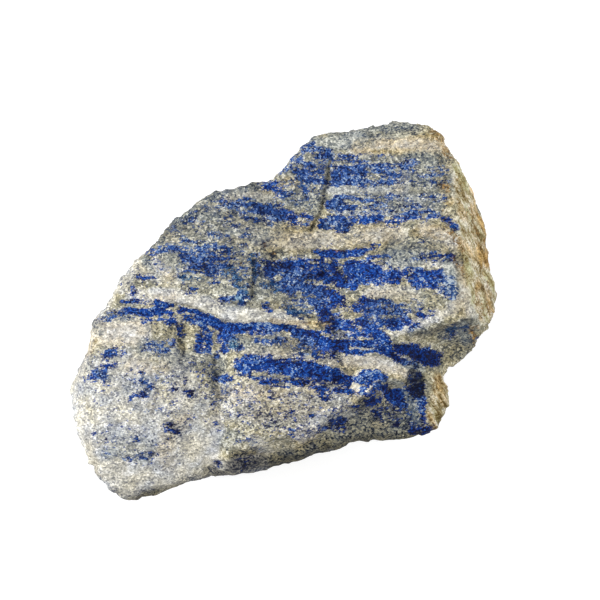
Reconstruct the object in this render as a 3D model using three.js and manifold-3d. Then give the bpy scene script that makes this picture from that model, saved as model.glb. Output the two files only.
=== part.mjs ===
// A piece of rough lapis lazuli: one stone, broken on every side, resting on a small flat spot.
// It is shaped in the frame of its broad broken face (u right, v up the face, w out of the face, in mm)
// and then leaned back onto the surface it lies on, +Z up.
import * as THREE from "three";
import { mergeVertices } from "three/addons/utils/BufferGeometryUtils.js";
import Module from "manifold-3d";

// ---- Driving dimensions, in millimetres and degrees ----
const FACE_LEAN = 32; // the broad face is tipped this far forward from lying level
const FACE_MIDDLE_HEIGHT = 48; // the middle of the face stands this far above the flat spot
const BODY_MIDDLE = [-4, -6, -24]; // a point well inside the stone
const BODY_REACH = [64, 56, 36]; // rough half lengths along u, v and w
const FACETS = 20; // the starting ball has 20 * (FACETS + 1)^2 triangles
const WAIST_DEPTH = -10; // behind this depth the sides draw in towards the back
const SIDE_TAPER = 0.2; // mm of inset for each mm of depth behind the waist
const EDGE_ROUNDING = 2; // worn radius where two break faces meet
const OUTLINE_WEAR = 0.6; // what that wear takes off the outline
const VALLEY_ROUNDING = 2; // hollow where two lumps of the stone run together
const ROUGHNESS = [ // unevenness of the broken surface: width of its lumps and their height
  { size: 16, height: 1.2 },
  { size: 7, height: 0.7 },
];
const STONE_COLOUR = 0x4a6594;

// ---- How the surface is found ----
const FARTHEST_REACH = 110; // the search comes in from this far out, in mm
const MARCH_STEP = 2; // and takes steps this long
const SETTLING_TRIES = 3; // moves down the slope that bring a corner onto the surface
const SLOPE_PROBE = 0.05; // mm between the two distances that give a slope
const LEAST_SLOPE = 0.25; // keeps a move short where the slope is nearly flat
const EVENING_MOVES = [0.6, 0.6, 0.6, 0.6, 0.6, 0.6]; // shares of the way to the neighbours' middle
const WEARING_MOVES = [0.5, -0.5];

// The outline of the stone seen square on to the broad face, clockwise from its top right corner.
const OUTLINE = [
  [39.7, 54.8], [41.7, 48.2], [44.6, 41.8], [49.0, 36.2], [53.1, 27.3], [56.1, 17.8], [57.5, 10.4],
  [59.3, 2.9], [59.5, -2.3], [56.3, -8.0], [52.4, -14.8], [47.1, -19.9], [41.1, -20.8],
  [44.4, -25.6], [45.6, -29.6], [43.4, -34.8], [42.9, -39.6], [39.5, -43.1], [34.8, -43.1],
  [24.6, -41.8], [15.4, -42.7], [5.0, -47.6], [-5.8, -51.2], [-15.3, -52.5], [-23.4, -52.9],
  [-36.3, -55.1], [-46.8, -60.2], [-53.2, -65.8], [-62.8, -60.4], [-61.8, -48.5], [-64.9, -39.2],
  [-67.6, -29.9], [-67.3, -23.6], [-64.0, -14.6], [-63.2, -8.2], [-58.8, -2.6], [-51.0, 8.2],
  [-44.4, 13.5], [-37.8, 22.6], [-28.9, 28.3], [-24.6, 30.5], [-13.1, 32.7], [-7.3, 36.0],
  [-2.3, 40.4], [4.1, 47.7], [12.8, 49.8], [21.5, 51.6], [25.2, 54.0],
];

// A flat break: a point on it and the way it faces, in the face's frame.
const flat = (at, facing) => ({ at, facing: new THREE.Vector3(...facing).normalize() });

// The lumps that make up the front. Each is bounded by its own flat breaks.
const UPPER_BLOCK = [
  flat([22, 15, 5], [-0.07, 0.03, 1]), // its broad face
  flat([22, 47.5, 4], [0.02, 0.8, 0.6]), // narrow bevel along the top
  flat([48, 20, 5], [0.86, 0.06, 0.5]), // weathered rind on the right
  flat([41, -9, 5.5], [0.3, -0.77, 0.56]), // undercut break facing down
  flat([-38, 24, 0], [-0.6, 0.57, 0.56]), // fall to the upper left edge
  flat([-60, -3, -1], [-0.88, 0.3, 0.38]),
];
const LOWER_BODY = [
  flat([-20, -25, 3.4], [0.02, 0.1, 1]),
  flat([-20, -38, 3.6], [0.07, -0.27, 0.96]), // turns under towards the lower edge
  flat([-65.5, -28, -1], [-0.9, 0, 0.44]), // left margin
  flat([-64, -53.5, -1], [-0.7, -0.45, 0.55]),
  flat([-40, -57.4, 1], [0.1, -0.8, 0.6]), // underside break below the bulge
  flat([-6, -45.5, 2], [0.24, -0.86, 0.45]), // underside break along the lower edge
  flat([17, -30, 3], [0.7, -0.1, 0.7]),
];
const LOWER_RIGHT_LOBE = [
  flat([20, -20, 3.4], [-0.12, 0.26, 0.95]), // upper side, catches the light
  flat([18.6, -29.4, 4.2], [0.27, -0.4, 0.87]), // lower side, turned down
  flat([40, -30, 0.5], [0.78, 0.1, 0.62]), // rind
  flat([30, -40, -2], [0.1, -0.9, 0.42]), // underside break
];
const LUMPS = [UPPER_BLOCK, LOWER_BODY, LOWER_RIGHT_LOBE];

// Gentle swells and hollows of the front: middle, reach along u and v, height.
const SWELLS = [
  { middle: [-45, -20], reach: [15, 12], height: 2.4 }, // lower left bulge
  { middle: [-42, -42], reach: [14, 12], height: 2.4 },
  { middle: [-8, -31], reach: [12, 9], height: 1.6 },
  { middle: [-34, 13], reach: [15, 8], height: 1.6 }, // left shoulder
  { middle: [-22, -1], reach: [22, 4], height: 1.2 }, // pale ledge above the ribbon
  { middle: [-8, 31], reach: [8, 7], height: -2 }, // dip at the upper notch
  { middle: [20, -22], reach: [6, 4], height: 1.2 },
];

// Creases: the line each follows in the face, its width and its depth.
const CREASES = [
  { line: [[-35.5, -9], [-34.5, -16], [-35.5, -24]], width: 3, depth: 1.8 },
  { line: [[-24.5, -10], [-25.5, -20], [-26.5, -33], [-25, -51]], width: 3.2, depth: 2.4 },
  { line: [[-50, -3], [-38, -4], [-24, -9.5], [-10, -10], [3, -12]], width: 3, depth: 1.1 },
  { line: [[9, 14], [12.5, -2], [17, -13], [22, -18]], width: 3.6, depth: 1.7 },
];

// Shell-shaped scoops knocked out by blows: middle, the way the hollow faces, width and depth.
const SCOOPS = [
  { middle: [1, 5, 3.8], facing: [0.05, 0.1, 1], width: 30, depth: 2.6 },
  { middle: [35.5, -29, 0.5], facing: [0.25, 0.05, 0.95], width: 11, depth: 2.4 },
];

// The breaks of the hidden sides, as the stone lies: compass direction (0 is straight behind, 90 is
// to the right), rise above the horizon, and distance from the middle of the body.
const BACK_BREAKS = [
  { compass: 8, rise: 12, distance: 53 },
  { compass: -48, rise: 8, distance: 47 },
  { compass: 46, rise: -10, distance: 51 },
  { compass: 92, rise: -52, distance: 33 },
  { compass: 3, rise: -40, distance: 32 },
  { compass: -42, rise: -56, distance: 32 },
  { compass: -92, rise: -58, distance: 35 },
  { compass: -150, rise: -76, distance: 33.5 },
  { compass: 155, rise: -60, distance: 31 },
];
const BACK_SCOOPS = [
  { compass: 2, rise: 10, distance: 54, width: 34, depth: 4 },
  { compass: -70, rise: -6, distance: 56, width: 26, depth: 3 },
  { compass: 60, rise: 0, distance: 54, width: 24, depth: 3 },
  { compass: -20, rise: -48, distance: 34, width: 26, depth: 2.5 },
];

// ---- Distances: negative inside the stone ----
const softMax = (a, b, blend) => {
  const near = Math.max(blend - Math.abs(a - b), 0) / blend;
  return Math.max(a, b) + (near * near * blend) / 4;
};
const softMin = (a, b, blend) => -softMax(-a, -b, blend);

const outlineLoop = new THREE.CatmullRomCurve3(
  OUTLINE.map(([u, v]) => new THREE.Vector3(u, v, 0)), true, "centripetal",
).getPoints(4 * OUTLINE.length);

// Distance from (u, v) to a line of points, and whether it lies on its inner side.
function distanceToLine(u, v, line) {
  let nearest = Infinity;
  let inside = false;
  for (let i = 0; i + 1 < line.length; i++) {
    const a = line[i];
    const b = line[i + 1];
    const along = THREE.MathUtils.clamp(
      ((u - a.x) * (b.x - a.x) + (v - a.y) * (b.y - a.y)) / a.distanceToSquared(b), 0, 1);
    nearest = Math.min(
      nearest, Math.hypot(u - a.x - along * (b.x - a.x), v - a.y - along * (b.y - a.y)));
    const crosses = a.y > v !== b.y > v;
    if (crosses && u < a.x + ((v - a.y) / (b.y - a.y)) * (b.x - a.x)) inside = !inside;
  }
  return { nearest, inside };
}

function outlineDistance({ x, y }) {
  const { nearest, inside } = distanceToLine(x, y, outlineLoop);
  return inside ? -nearest : nearest;
}

const flatDistance = (point, { at, facing }) =>
  (point.x - at[0]) * facing.x + (point.y - at[1]) * facing.y + (point.z - at[2]) * facing.z;

const lumpDistance = (point, breaks) => breaks
  .map((one) => flatDistance(point, one))
  .reduce((a, b) => softMax(a, b, EDGE_ROUNDING));

// A scoop is the bite of a large ball.
function scoop({ middle, facing, width, depth }) {
  const radius = ((width / 2) ** 2 + depth ** 2) / (2 * depth);
  const out = new THREE.Vector3(...facing).normalize();
  return { radius, centre: new THREE.Vector3(...middle).addScaledVector(out, radius - depth) };
}

const lean = new THREE.Matrix4().makeRotationX(THREE.MathUtils.degToRad(FACE_LEAN));
const unlean = lean.clone().invert();
const bodyMiddle = new THREE.Vector3(...BODY_MIDDLE);

// A compass direction of the lying stone, turned into the face's frame.
function towards({ compass, rise, distance }) {
  const turn = THREE.MathUtils.degToRad(compass);
  const lift = THREE.MathUtils.degToRad(rise);
  const facing = new THREE.Vector3(
    Math.sin(turn) * Math.cos(lift), Math.cos(turn) * Math.cos(lift), Math.sin(lift),
  ).transformDirection(unlean);
  return { facing, at: bodyMiddle.clone().addScaledVector(facing, distance).toArray() };
}

const backFlats = BACK_BREAKS.map(towards);
const scoops = [
  ...SCOOPS.map(scoop),
  ...BACK_SCOOPS.map((one) => {
    const { facing, at } = towards(one);
    return scoop({ middle: at, facing: facing.toArray(), width: one.width, depth: one.depth });
  }),
];
const creaseLines = CREASES.map(({ line }) => line.map(([u, v]) => new THREE.Vector3(u, v, 0)));

// How far the front stands out from its flat breaks.
function relief({ x, y }) {
  let height = 0;
  for (const { middle, reach, height: top } of SWELLS)
    height += top * Math.exp(-(((x - middle[0]) / reach[0]) ** 2) - ((y - middle[1]) / reach[1]) ** 2);
  CREASES.forEach(({ width, depth }, i) => {
    const { nearest } = distanceToLine(x, y, creaseLines[i]);
    height -= depth * Math.exp(-((nearest / width) ** 2));
  });
  return height;
}

// Smooth noise between -1 and 1, the same every time.
function corner(i, j, k) {
  const s = Math.sin(i * 127.1 + j * 311.7 + k * 74.7) * 43758.5453;
  return 2 * (s - Math.floor(s)) - 1;
}
function noise(x, y, z) {
  const [i, j, k] = [x, y, z].map(Math.floor);
  const [fx, fy, fz] = [x - i, y - j, z - k].map((t) => t * t * (3 - 2 * t));
  const mix = THREE.MathUtils.lerp;
  const edge = (b, c) => mix(corner(i, j + b, k + c), corner(i + 1, j + b, k + c), fx);
  return mix(mix(edge(0, 0), edge(1, 0), fy), mix(edge(0, 1), edge(1, 1), fy), fz);
}
const unevenness = (p) => ROUGHNESS.reduce(
  (sum, { size, height }) => sum + height * noise(p.x / size, p.y / size, p.z / size), 0);

function stoneDistance(point) {
  const front = LUMPS
    .map((breaks) => lumpDistance(point, breaks))
    .reduce((a, b) => softMin(a, b, VALLEY_ROUNDING)) - relief(point);
  const inset = SIDE_TAPER * Math.max(WAIST_DEPTH - point.z, 0);
  const cuts = [
    outlineDistance(point) + inset - OUTLINE_WEAR,
    ...backFlats.map((one) => flatDistance(point, one)),
    ...scoops.map(({ centre, radius }) => radius - point.distanceTo(centre)),
  ];
  return cuts.reduce((a, b) => softMax(a, b, EDGE_ROUNDING), front) - unevenness(point);
}

// The outermost surface point on the way out from the middle of the body.
function surfaceAlong(direction) {
  const at = (reach) => bodyMiddle.clone().addScaledVector(direction, reach);
  let outer = FARTHEST_REACH;
  while (outer > 0 && stoneDistance(at(outer - MARCH_STEP)) > 0) outer -= MARCH_STEP;
  return settle(at(outer));
}

// Slides a point down the slope of the distance until it lies on the surface.
function settle(point) {
  for (let tries = 0; tries < SETTLING_TRIES; tries++) {
    const here = stoneDistance(point);
    const slope = new THREE.Vector3(
      ...["x", "y", "z"].map((axis) => {
        const beside = point.clone();
        beside[axis] += SLOPE_PROBE;
        return (stoneDistance(beside) - here) / SLOPE_PROBE;
      }),
    );
    point.addScaledVector(slope, -here / Math.max(slope.lengthSq(), LEAST_SLOPE));
  }
  return point;
}

// Evens out the triangles: each corner moves towards the middle of its neighbours and settles again.
// A last move in and an equal move out wear off any spike and leave the size as it was.
function evenOut(points, triangles) {
  const neighbours = points.map(() => new Set());
  for (let i = 0; i < triangles.length; i += 3)
    for (let k = 0; k < 3; k++) {
      neighbours[triangles[i + k]].add(triangles[i + ((k + 1) % 3)]);
      neighbours[triangles[i + k]].add(triangles[i + ((k + 2) % 3)]);
    }
  const moved = (share) => points.map((point, i) => {
    const middle = new THREE.Vector3();
    neighbours[i].forEach((n) => middle.addScaledVector(points[n], 1 / neighbours[i].size));
    return point.clone().lerp(middle, share);
  });
  for (const share of EVENING_MOVES) points = moved(share).map(settle);
  for (const share of WEARING_MOVES) points = moved(share);
  return points;
}

function brokenStone() {
  const ball = new THREE.IcosahedronGeometry(1, FACETS);
  ball.deleteAttribute("normal");
  ball.deleteAttribute("uv");
  const geometry = mergeVertices(ball, 1e-5);
  const position = geometry.getAttribute("position");
  const stretch = new THREE.Vector3(...BODY_REACH);
  const points = [];
  for (let i = 0; i < position.count; i++) {
    const direction = new THREE.Vector3().fromBufferAttribute(position, i).multiply(stretch);
    points.push(surfaceAlong(direction.normalize()));
  }
  evenOut(points, geometry.index.array).forEach((p, i) => position.setXYZ(i, p.x, p.y, p.z));
  return geometry.applyMatrix4(lean).translate(0, 0, FACE_MIDDLE_HEIGHT);
}

// ---- The flat spot it rests on: everything below the table is cut away ----
const wasm = await Module();
wasm.setup();
const solidOf = (geometry) =>
  new wasm.Manifold(new wasm.Mesh({
    numProp: 3,
    vertProperties: geometry.getAttribute("position").array,
    triVerts: new Uint32Array(geometry.index.array),
  }));

function cutFlat(geometry) {
  const side = 2 * FARTHEST_REACH;
  const box = new THREE.BoxGeometry(side, side, side).translate(0, 0, -side / 2);
  box.deleteAttribute("normal");
  box.deleteAttribute("uv");
  const cut = solidOf(geometry).subtract(solidOf(mergeVertices(box))).getMesh();
  return new THREE.BufferGeometry()
    .setAttribute("position", new THREE.BufferAttribute(cut.vertProperties, 3))
    .setIndex(new THREE.BufferAttribute(cut.triVerts, 1));
}

const stone = new THREE.Mesh(
  cutFlat(brokenStone()),
  new THREE.MeshStandardMaterial({ color: STONE_COLOUR, roughness: 0.75, metalness: 0 }),
);
stone.name = "stone";
stone.geometry.computeVertexNormals();

const group = new THREE.Group();
group.add(stone);
export default group;
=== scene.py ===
# %% [markdown]
# # A rough piece of lapis lazuli
# Lapis lazuli is a rock and not one mineral. Blue lazurite lies in bands through white
# calcite, with grey silicates and a rusty weathered skin. This lesson takes the plain solid
# of the stone, breaks its skin into real rock relief, paints where each mineral lies, and
# lets a shader turn those paintings into grains.

# %% Load the solid stone as the fixed frame
import math

import bpy
import numpy as np
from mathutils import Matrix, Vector, noise


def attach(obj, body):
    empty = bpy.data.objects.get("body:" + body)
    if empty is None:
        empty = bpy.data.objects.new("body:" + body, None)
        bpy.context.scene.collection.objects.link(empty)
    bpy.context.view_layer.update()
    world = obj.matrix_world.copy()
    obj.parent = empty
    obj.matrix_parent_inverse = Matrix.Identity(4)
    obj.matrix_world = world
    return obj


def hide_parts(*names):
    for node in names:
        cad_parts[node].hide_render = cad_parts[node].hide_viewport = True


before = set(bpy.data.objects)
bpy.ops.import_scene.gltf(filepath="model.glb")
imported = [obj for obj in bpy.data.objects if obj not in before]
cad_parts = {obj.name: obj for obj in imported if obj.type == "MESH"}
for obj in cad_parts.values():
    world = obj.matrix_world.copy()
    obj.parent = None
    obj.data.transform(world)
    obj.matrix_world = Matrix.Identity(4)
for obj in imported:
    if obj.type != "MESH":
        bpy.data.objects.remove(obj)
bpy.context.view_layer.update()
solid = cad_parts["stone"]

# %% [markdown]
# ## The camera
# The broad broken face leans back 32 degrees from level, so a camera 58 degrees above the
# table looks at it square on. A wide lens close by would swell the near parts, so a long
# lens from far away is used. It is made first.

# %% Camera square on to the broad face
MM = 0.001
FACE_LEAN = math.radians(32)
FACE_MIDDLE = Vector((0, 0, 48 * MM))
CAMERA_DISTANCE = 669 * MM

scene = bpy.context.scene
lens = bpy.data.cameras.new("long_lens")
lens.lens = 135
lens.sensor_width = 36
lens.clip_start = 0.05
lens.clip_end = 20
camera = bpy.data.objects.new("camera", lens)
face_direction = Vector((0, -math.sin(FACE_LEAN), math.cos(FACE_LEAN)))
camera.location = FACE_MIDDLE + CAMERA_DISTANCE * face_direction
camera.rotation_euler = (FACE_LEAN, 0, 0)
scene.collection.objects.link(camera)
scene.camera = camera
print("camera at", [round(x, 3) for x in camera.location])

# %% [markdown]
# ## A finer skin for the stone
# The solid has facets 3 to 4 mm wide, too coarse for rock. It could be subdivided, but its
# triangles are uneven and the relief would tear at the thin ones. A voxel remesh gives an
# even net of small squares instead, which is what sculptors use before they carve. Then a
# light smoothing takes away the last of the facets.

# %% Remesh the skin and smooth away the facets
NET_SIZE = 0.68 * MM
SMOOTH_ROUNDS = 9


def baked_mesh(piece):
    """The mesh of a piece with its modifiers applied."""
    seen = piece.evaluated_get(bpy.context.evaluated_depsgraph_get())
    return bpy.data.meshes.new_from_object(seen)


stone = bpy.data.objects.new("lapis_stone", solid.data.copy())
scene.collection.objects.link(stone)
net = stone.modifiers.new("even net", "REMESH")
net.mode = "VOXEL"
net.voxel_size = NET_SIZE
softened = stone.modifiers.new("lose facets", "SMOOTH")
softened.factor = 0.5
softened.iterations = SMOOTH_ROUNDS
skin = baked_mesh(stone)
stone.modifiers.clear()
stone.data = skin
print("finer skin:", len(skin.polygons), "squares")

# %% [markdown]
# ## Measuring the stone
# Everything below is placed on a drawing of the broad face: `u` runs right and `v` runs up,
# in millimetres, as the camera sees them. `w` is the height out of the face, so it is
# negative behind it. A point's own normal says if it faces the drawing or lies behind.

# %% Where each point of the skin lies on the drawing of the face
DRAWING_DEPTH = 6.0
TURNED_AWAY = 0.12
TURNING_SPAN = 0.45


def points_of(mesh):
    """Every point of a mesh, in millimetres."""
    flat = np.empty(len(mesh.vertices) * 3)
    mesh.vertices.foreach_get("co", flat)
    return flat.reshape(-1, 3) / MM


def normals_of(mesh):
    """The outward direction at every point of a mesh."""
    flat = np.empty(len(mesh.vertices) * 3, np.float32)
    mesh.vertex_normals.foreach_get("vector", flat)
    return flat.reshape(-1, 3).astype(float)


def drawing_of(points):
    """Each point's u and v as the camera sees them, and its height w out of the face."""
    cos, sin = math.cos(FACE_LEAN), math.sin(FACE_LEAN)
    x, y, z = points[:, 0], points[:, 1], points[:, 2] - FACE_MIDDLE.z / MM
    up_face, out = cos * y + sin * z, cos * z - sin * y
    distance = CAMERA_DISTANCE / MM
    nearness = (distance + DRAWING_DEPTH) / (distance - out)
    return x * nearness, up_face * nearness, out


def smooth_step(t):
    """0 below 0, 1 above 1 and an even S between."""
    t = np.clip(t, 0, 1)
    return t * t * (3 - 2 * t)


smooth_points = points_of(skin)
outward = normals_of(skin)
u, v, w = drawing_of(smooth_points)
facing = outward @ np.array(face_direction)
behind = smooth_step((TURNED_AWAY - facing) / TURNING_SPAN)
in_front = 1 - behind
depth = np.maximum(0, -w - DRAWING_DEPTH)
print("drawing spans u", u.min().round(1), u.max().round(1))
print("and v", v.min().round(1), v.max().round(1))

# %% [markdown]
# ## Noise for rock
# Two kinds of noise shape broken rock. `wander` is smooth and cloudy, for swells and for
# wavy edges. `chips` cuts the skin into small cells and gives each its own tilted plane, as
# a hammer leaves them. Both are fixed by their seed, so the stone is the same every time.

# %% Cloudy noise and chipped noise


def wander(points, size, octaves=3, seed=0):
    """Cloudy noise of about -1 to 1, with lumps `size` mm across."""
    shift = Vector((seed * 7.31, seed * 3.17, seed * 5.73))
    return np.array([noise.fractal(Vector(p) / size + shift, 1.0, 2.0, octaves) for p in points])


def tilt_of(cell):
    """A direction that looks random but always belongs to this one cell."""
    x, y, z = cell
    return Vector((
        math.sin(x * 127.1 + y * 311.7 + z * 74.7) * 43.7 % 2 - 1,
        math.sin(x * 269.5 + y * 183.3 + z * 246.1) * 43.7 % 2 - 1,
        math.sin(x * 113.5 + y * 271.9 + z * 124.6) * 43.7 % 2 - 1,
    ))


def chips(points, size, seed=0):
    """Heights of small tilted planes, one for each cell `size` mm across, about -1 to 1."""
    shift = Vector((seed * 5.19, seed * 8.53, seed * 2.77))
    heights = []
    for p in points:
        place = Vector(p) / size + shift
        cell = noise.voronoi(place)[1][0]
        heights.append((place - cell).dot(tilt_of(cell)))
    return np.array(heights)


print("noise at one point:", round(wander(smooth_points[:1], 9)[0], 3))

# %% [markdown]
# ## Brushes and lines
# Cracks, creases, streaks and stains are all drawn the same way, as with a brush. A brush is
# its half width in millimetres, its strength, and the lines drawn with it. A line is the
# numbers u, v, u, v and so on of the points that it passes through, and a line of one point
# is a dab. One function turns a list of brushes into a value for every point of the skin.
# Wide brushes get soft edges and thin ones crisp edges.

# %% Turn brushes and their lines into values on the skin
FEATHER = 1.6
EDGE_SHARE = 0.6


def distance_to(line, u, v):
    """How far each point is from a line of one or more points."""
    points = list(zip(line[0::2], line[1::2]))
    ends = list(zip(points, points[1:])) or [(points[0], points[0])]
    nearest = np.full(len(u), np.inf)
    for (au, av), (bu, bv) in ends:
        du, dv = bu - au, bv - av
        along = ((u - au) * du + (v - av) * dv) / max(du * du + dv * dv, 1e-9)
        along = np.clip(along, 0, 1)
        nearest = np.minimum(nearest, np.hypot(u - au - along * du, v - av - along * dv))
    return nearest


def drawn(brushes, u, v, feather=FEATHER):
    """The strongest brush over each point, from 0 up to that brush's strength."""
    value = np.zeros(len(u))
    for half_width, strength, *lines in brushes:
        edge = max(feather, EDGE_SHARE * half_width)
        nearest = np.min([distance_to(line, u, v) for line in lines], axis=0)
        inside = (half_width + edge / 2 - nearest) / edge
        value = np.maximum(value, strength * smooth_step(inside))
    return value


def line_count(brushes):
    """How many lines are drawn with these brushes."""
    return sum(len(lines) for half_width, strength, *lines in brushes)


print("in a line's middle:", drawn([(1.0, 0.5, (0, 0, 9, 0))], np.array([4.0]), np.array([0.0])))

# %% [markdown]
# ## The relief of a broken face
# Lapis breaks with a hackly, sugary surface: swells of a centimetre, chips of a few
# millimetres, thin ledges where the bands part, and a few open cracks. Each is a height in
# millimetres that moves a point along its normal. Displacement textures could do it, but
# adding heights one by one keeps each kind where the real stone has it. The longest crack runs
# down the upper block, and the knobs fill out the edge where the stone bulges.

# %% Cracks, hollows and knobs in the broad face
GROOVES = [
    (0.8, 0.35, (-26, -17, -25, -20, -25.8, -24, -24.6, -28, -25.4, -33, -24.2, -38)),
    (0.7, 0.65, (-14, 13, -13.8, 7, -14.5, 1)),
    (0.7, 0.4, (-36, -6, -35.2, -9, -36, -12, -34.8, -15, -35.8, -19)),
    (0.6, 0.4, (-46, -18, -43, -26, -44, -34)),
    (0.5, 0.7, (9, 43, 8.4, 38, 8.1, 34.5, 6.9, 30, 6.4, 27, 4.6, 23.6, 3, 21)),
    (0.5, 0.5, (13, 14.6, 14.4, 10.4, 13.6, 5.5), (32.5, -12.5, 38, -10.2, 46, -8, 52, -6.3)),
    (0.5, 0.45, (-40, -1, -33, -2, -27.5, -5, -24.5, -6.6, -18, -7, -9, -6.4, 0, -8.6),
     (-20, -1, -12, -1.6, -4, -2.4, 4, -4.8)),
    (0.5, 0.4, (-18, -22.5, -9, -22.4, -1, -23.6, 9, -25.2, 15, -25)),
    (0.45, 0.4, (24.5, 24, 26, 17, 25.5, 11)),
    (0.45, 0.35, (46, 20, 47.5, 8, 47.8, -1)),
    (0.4, 0.4, (16, -14.5, 22, -14.3, 26, -16, 31, -19)),
]
HOLLOWS = [
    (3.4, 0.6, (-41, -12)),
    (3.0, 1.0, (9, 8, 11, 9)),
    (3.0, 0.7, (-13, -47, -17, -47.6)),
    (2.8, 0.5, (2, -36, 8, -36)),
    (2.6, 0.6, (29, -5.6)),
    (2.6, 0.5, (22, 17, 29, 18)),
    (2.4, 0.8, (59, 2, 59.6, -1)),
    (2.4, 0.6, (-19.5, -13.2)),
    (2.2, 0.7, (-37, -9, -35, -9.5)),
    (2.2, 0.5, (-4, 29, 1, 31)),
]
KNOBS = [
    (4.0, 1.5, (-59, -54, -52, -59)),
    (3.2, 0.5, (-50, -36)),
    (2.6, 0.5, (-31, 11, -27, 11)),
    (2.6, 0.45, (-55, -11, -50, -10)),
    (2.4, 2.4, (-57.4, -57, -50.6, -60.4)),
    (2.4, 1.5, (6, -46.6, -5, -49.8, -15, -51.6, -24, -52.6)),
    (2.4, 1.2, (12, -44, 19, -42.6)),
    (2.4, 0.7, (26, -42, 36, -41)),
    (2.4, 0.4, (2, -21, -1, -21)),
    (2.2, 0.5, (-20, -4.6, -17, -5)),
    (2.2, 0.25, (43, 49, 47, 42)),
    (2.0, 1.5, (37.6, -40.4, 40, -38.6)),
    (2.0, 0.9, (52.4, -14, 47, -18.6)),
    (2.0, 0.8, (-24, 32.6, -16, 33.6)),
    (2.0, 0.7, (-6, 38, -2, 42)),
    (2.0, 0.5, (14, 38, 19, 38.5), (-41, 20, -37, 22.6), (17, 8.5, 21, 8.5)),
    (2.0, 0.2, (-4, 40.6, -0.6, 44.6)),
    (1.8, 0.8, (44.4, -27, 43.8, -30.4)),
    (1.6, 0.8, (17.5, -23, 20.5, -22.3, 24, -23)),
    (1.6, 0.4, (38, 26, 44, 24)),
]
GROOVE_FEATHER = 0.9
RAGGEDNESS = 0.5

ragged_u = u + RAGGEDNESS * wander(smooth_points, 2.6, 2, seed=1)
ragged_v = v + RAGGEDNESS * wander(smooth_points, 2.6, 2, seed=2)
grooves = drawn(GROOVES, ragged_u, ragged_v, GROOVE_FEATHER) * in_front
hollows = drawn(HOLLOWS, ragged_u, ragged_v) * in_front
knobs = drawn(KNOBS, ragged_u, ragged_v) * in_front
print("points in a groove:", int((grooves > 0.1).sum()))

# %% [markdown]
# At the lower right the face breaks down in a few real facets. They could be cut with
# planes, but a plane takes off everything beyond it. Here each is a line with a fall on its
# right-hand side, as one walks along it: how deep it falls in millimetres, how wide the
# falling facet is, and how long the surface needs to come back.

# %% Facets that fall away beside a line
FACETS = [
    (2.2, 5.5, 9.0, (27.4, -15.4), (30, -12.9), (35.6, -9.4), (40.7, -6.6), (51.4, -5.1)),
    (2.0, 6.0, 14.0, (5, -39), (7.3, -33.4), (15, -30.4), (20, -28), (24, -23.6)),
    (1.6, 5.0, 20.0, (-26, -46.5), (-14, -45), (-2, -43), (5, -40)),
    (1.0, 3.0, 6.0, (36.6, -37), (32.4, -33), (31.4, -29), (31.6, -23.5)),
    (0.9, 2.6, 7.0, (13, -20.8), (18, -21.6), (23, -20.8), (26, -23.2), (31, -25)),
    (1.0, 2.0, 6.0, (-40, -0.6), (-33, -1.6), (-27.5, -4.4), (-24.5, -6), (-18, -7), (-9, -6.6),
     (0, -8.6)),
]
FACET_END = 5.0


def fall_beside(line, facet, back, u, v):
    """0 to 1: how far the surface has fallen on the right-hand side of a line."""
    nearest = np.full(len(u), np.inf)
    side = np.zeros(len(u))
    beyond = np.zeros(len(u))
    for number, ((au, av), (bu, bv)) in enumerate(zip(line, line[1:])):
        length = math.hypot(bu - au, bv - av)
        du, dv = (bu - au) / length, (bv - av) / length
        along = (u - au) * du + (v - av) * dv
        right = (u - au) * dv - (v - av) * du
        past_start = np.maximum(-along, 0) * (number == 0)
        past_end = np.maximum(along - length, 0) * (number == len(line) - 2)
        inside = np.clip(along, 0, length)
        away = np.hypot(u - au - inside * du, v - av - inside * dv)
        closer = away < nearest
        nearest = np.where(closer, away, nearest)
        side = np.where(closer, right, side)
        beyond = np.where(closer, past_start + past_end, beyond)
    fallen = smooth_step(nearest / facet) * (1 - smooth_step((nearest - facet) / back))
    return np.where(side > 0, fallen, 0) * (1 - smooth_step(beyond / FACET_END))


falls = sum(
    deep * fall_beside(line, facet, back, ragged_u, ragged_v) for deep, facet, back, *line in FACETS
)
falls *= in_front
print("deepest fall:", falls.max().round(2), "mm")

# %% [markdown]
# The bands part a little where the rock broke, so the face has thin ledges that run with
# them. A sawtooth of the height across the bands gives them, bent by slow noise. The right
# side is an old weathered skin, where the layers are seen on edge as long fibres, so its
# noise is stretched seven times along them.

# %% Ledges along the bands and fibres in the weathered skin
LEDGE_STEP = 3.1
LEDGE_RISE = 0.82
BAND_DIP = 0.35
FIBRE_ANGLE = math.radians(-64)
FIBRE_STRETCH = 7
FIBRE_SQUEEZE = 0.3
RIND_FADE = 1.6
RIND_EDGE = [(58, 40), (50, 43.5), (43, 46), (35, 46), (27, 47.5), (18, 48.8), (8, 49.6),
             (-1, 51.6), (-6, 54), (-12, 70)]  # (v, u): right of this the skin is weathered
LOBE_RIND = [(3.0, 1.0, (42.4, -25, 42.4, -30, 41.5, -35.6))]

level = v - BAND_DIP * depth + 1.6 * wander(smooth_points, 24, 3, seed=3)
ledge_wave = (level / LEDGE_STEP + 0.6 * wander(smooth_points, 9, 2, seed=4)) % 1
ledges = np.where(
    ledge_wave < LEDGE_RISE, ledge_wave / LEDGE_RISE, (1 - ledge_wave) / (1 - LEDGE_RISE)
)
ledge_share = smooth_step(0.5 + 1.3 * wander(smooth_points, 17, 2, seed=5))

rind_levels, rind_edge = zip(*sorted(RIND_EDGE))
past_edge = ragged_u - np.interp(v, rind_levels, rind_edge)
rind = np.maximum(smooth_step(past_edge / RIND_FADE + 0.5), drawn(LOBE_RIND, ragged_u, ragged_v))

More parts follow.
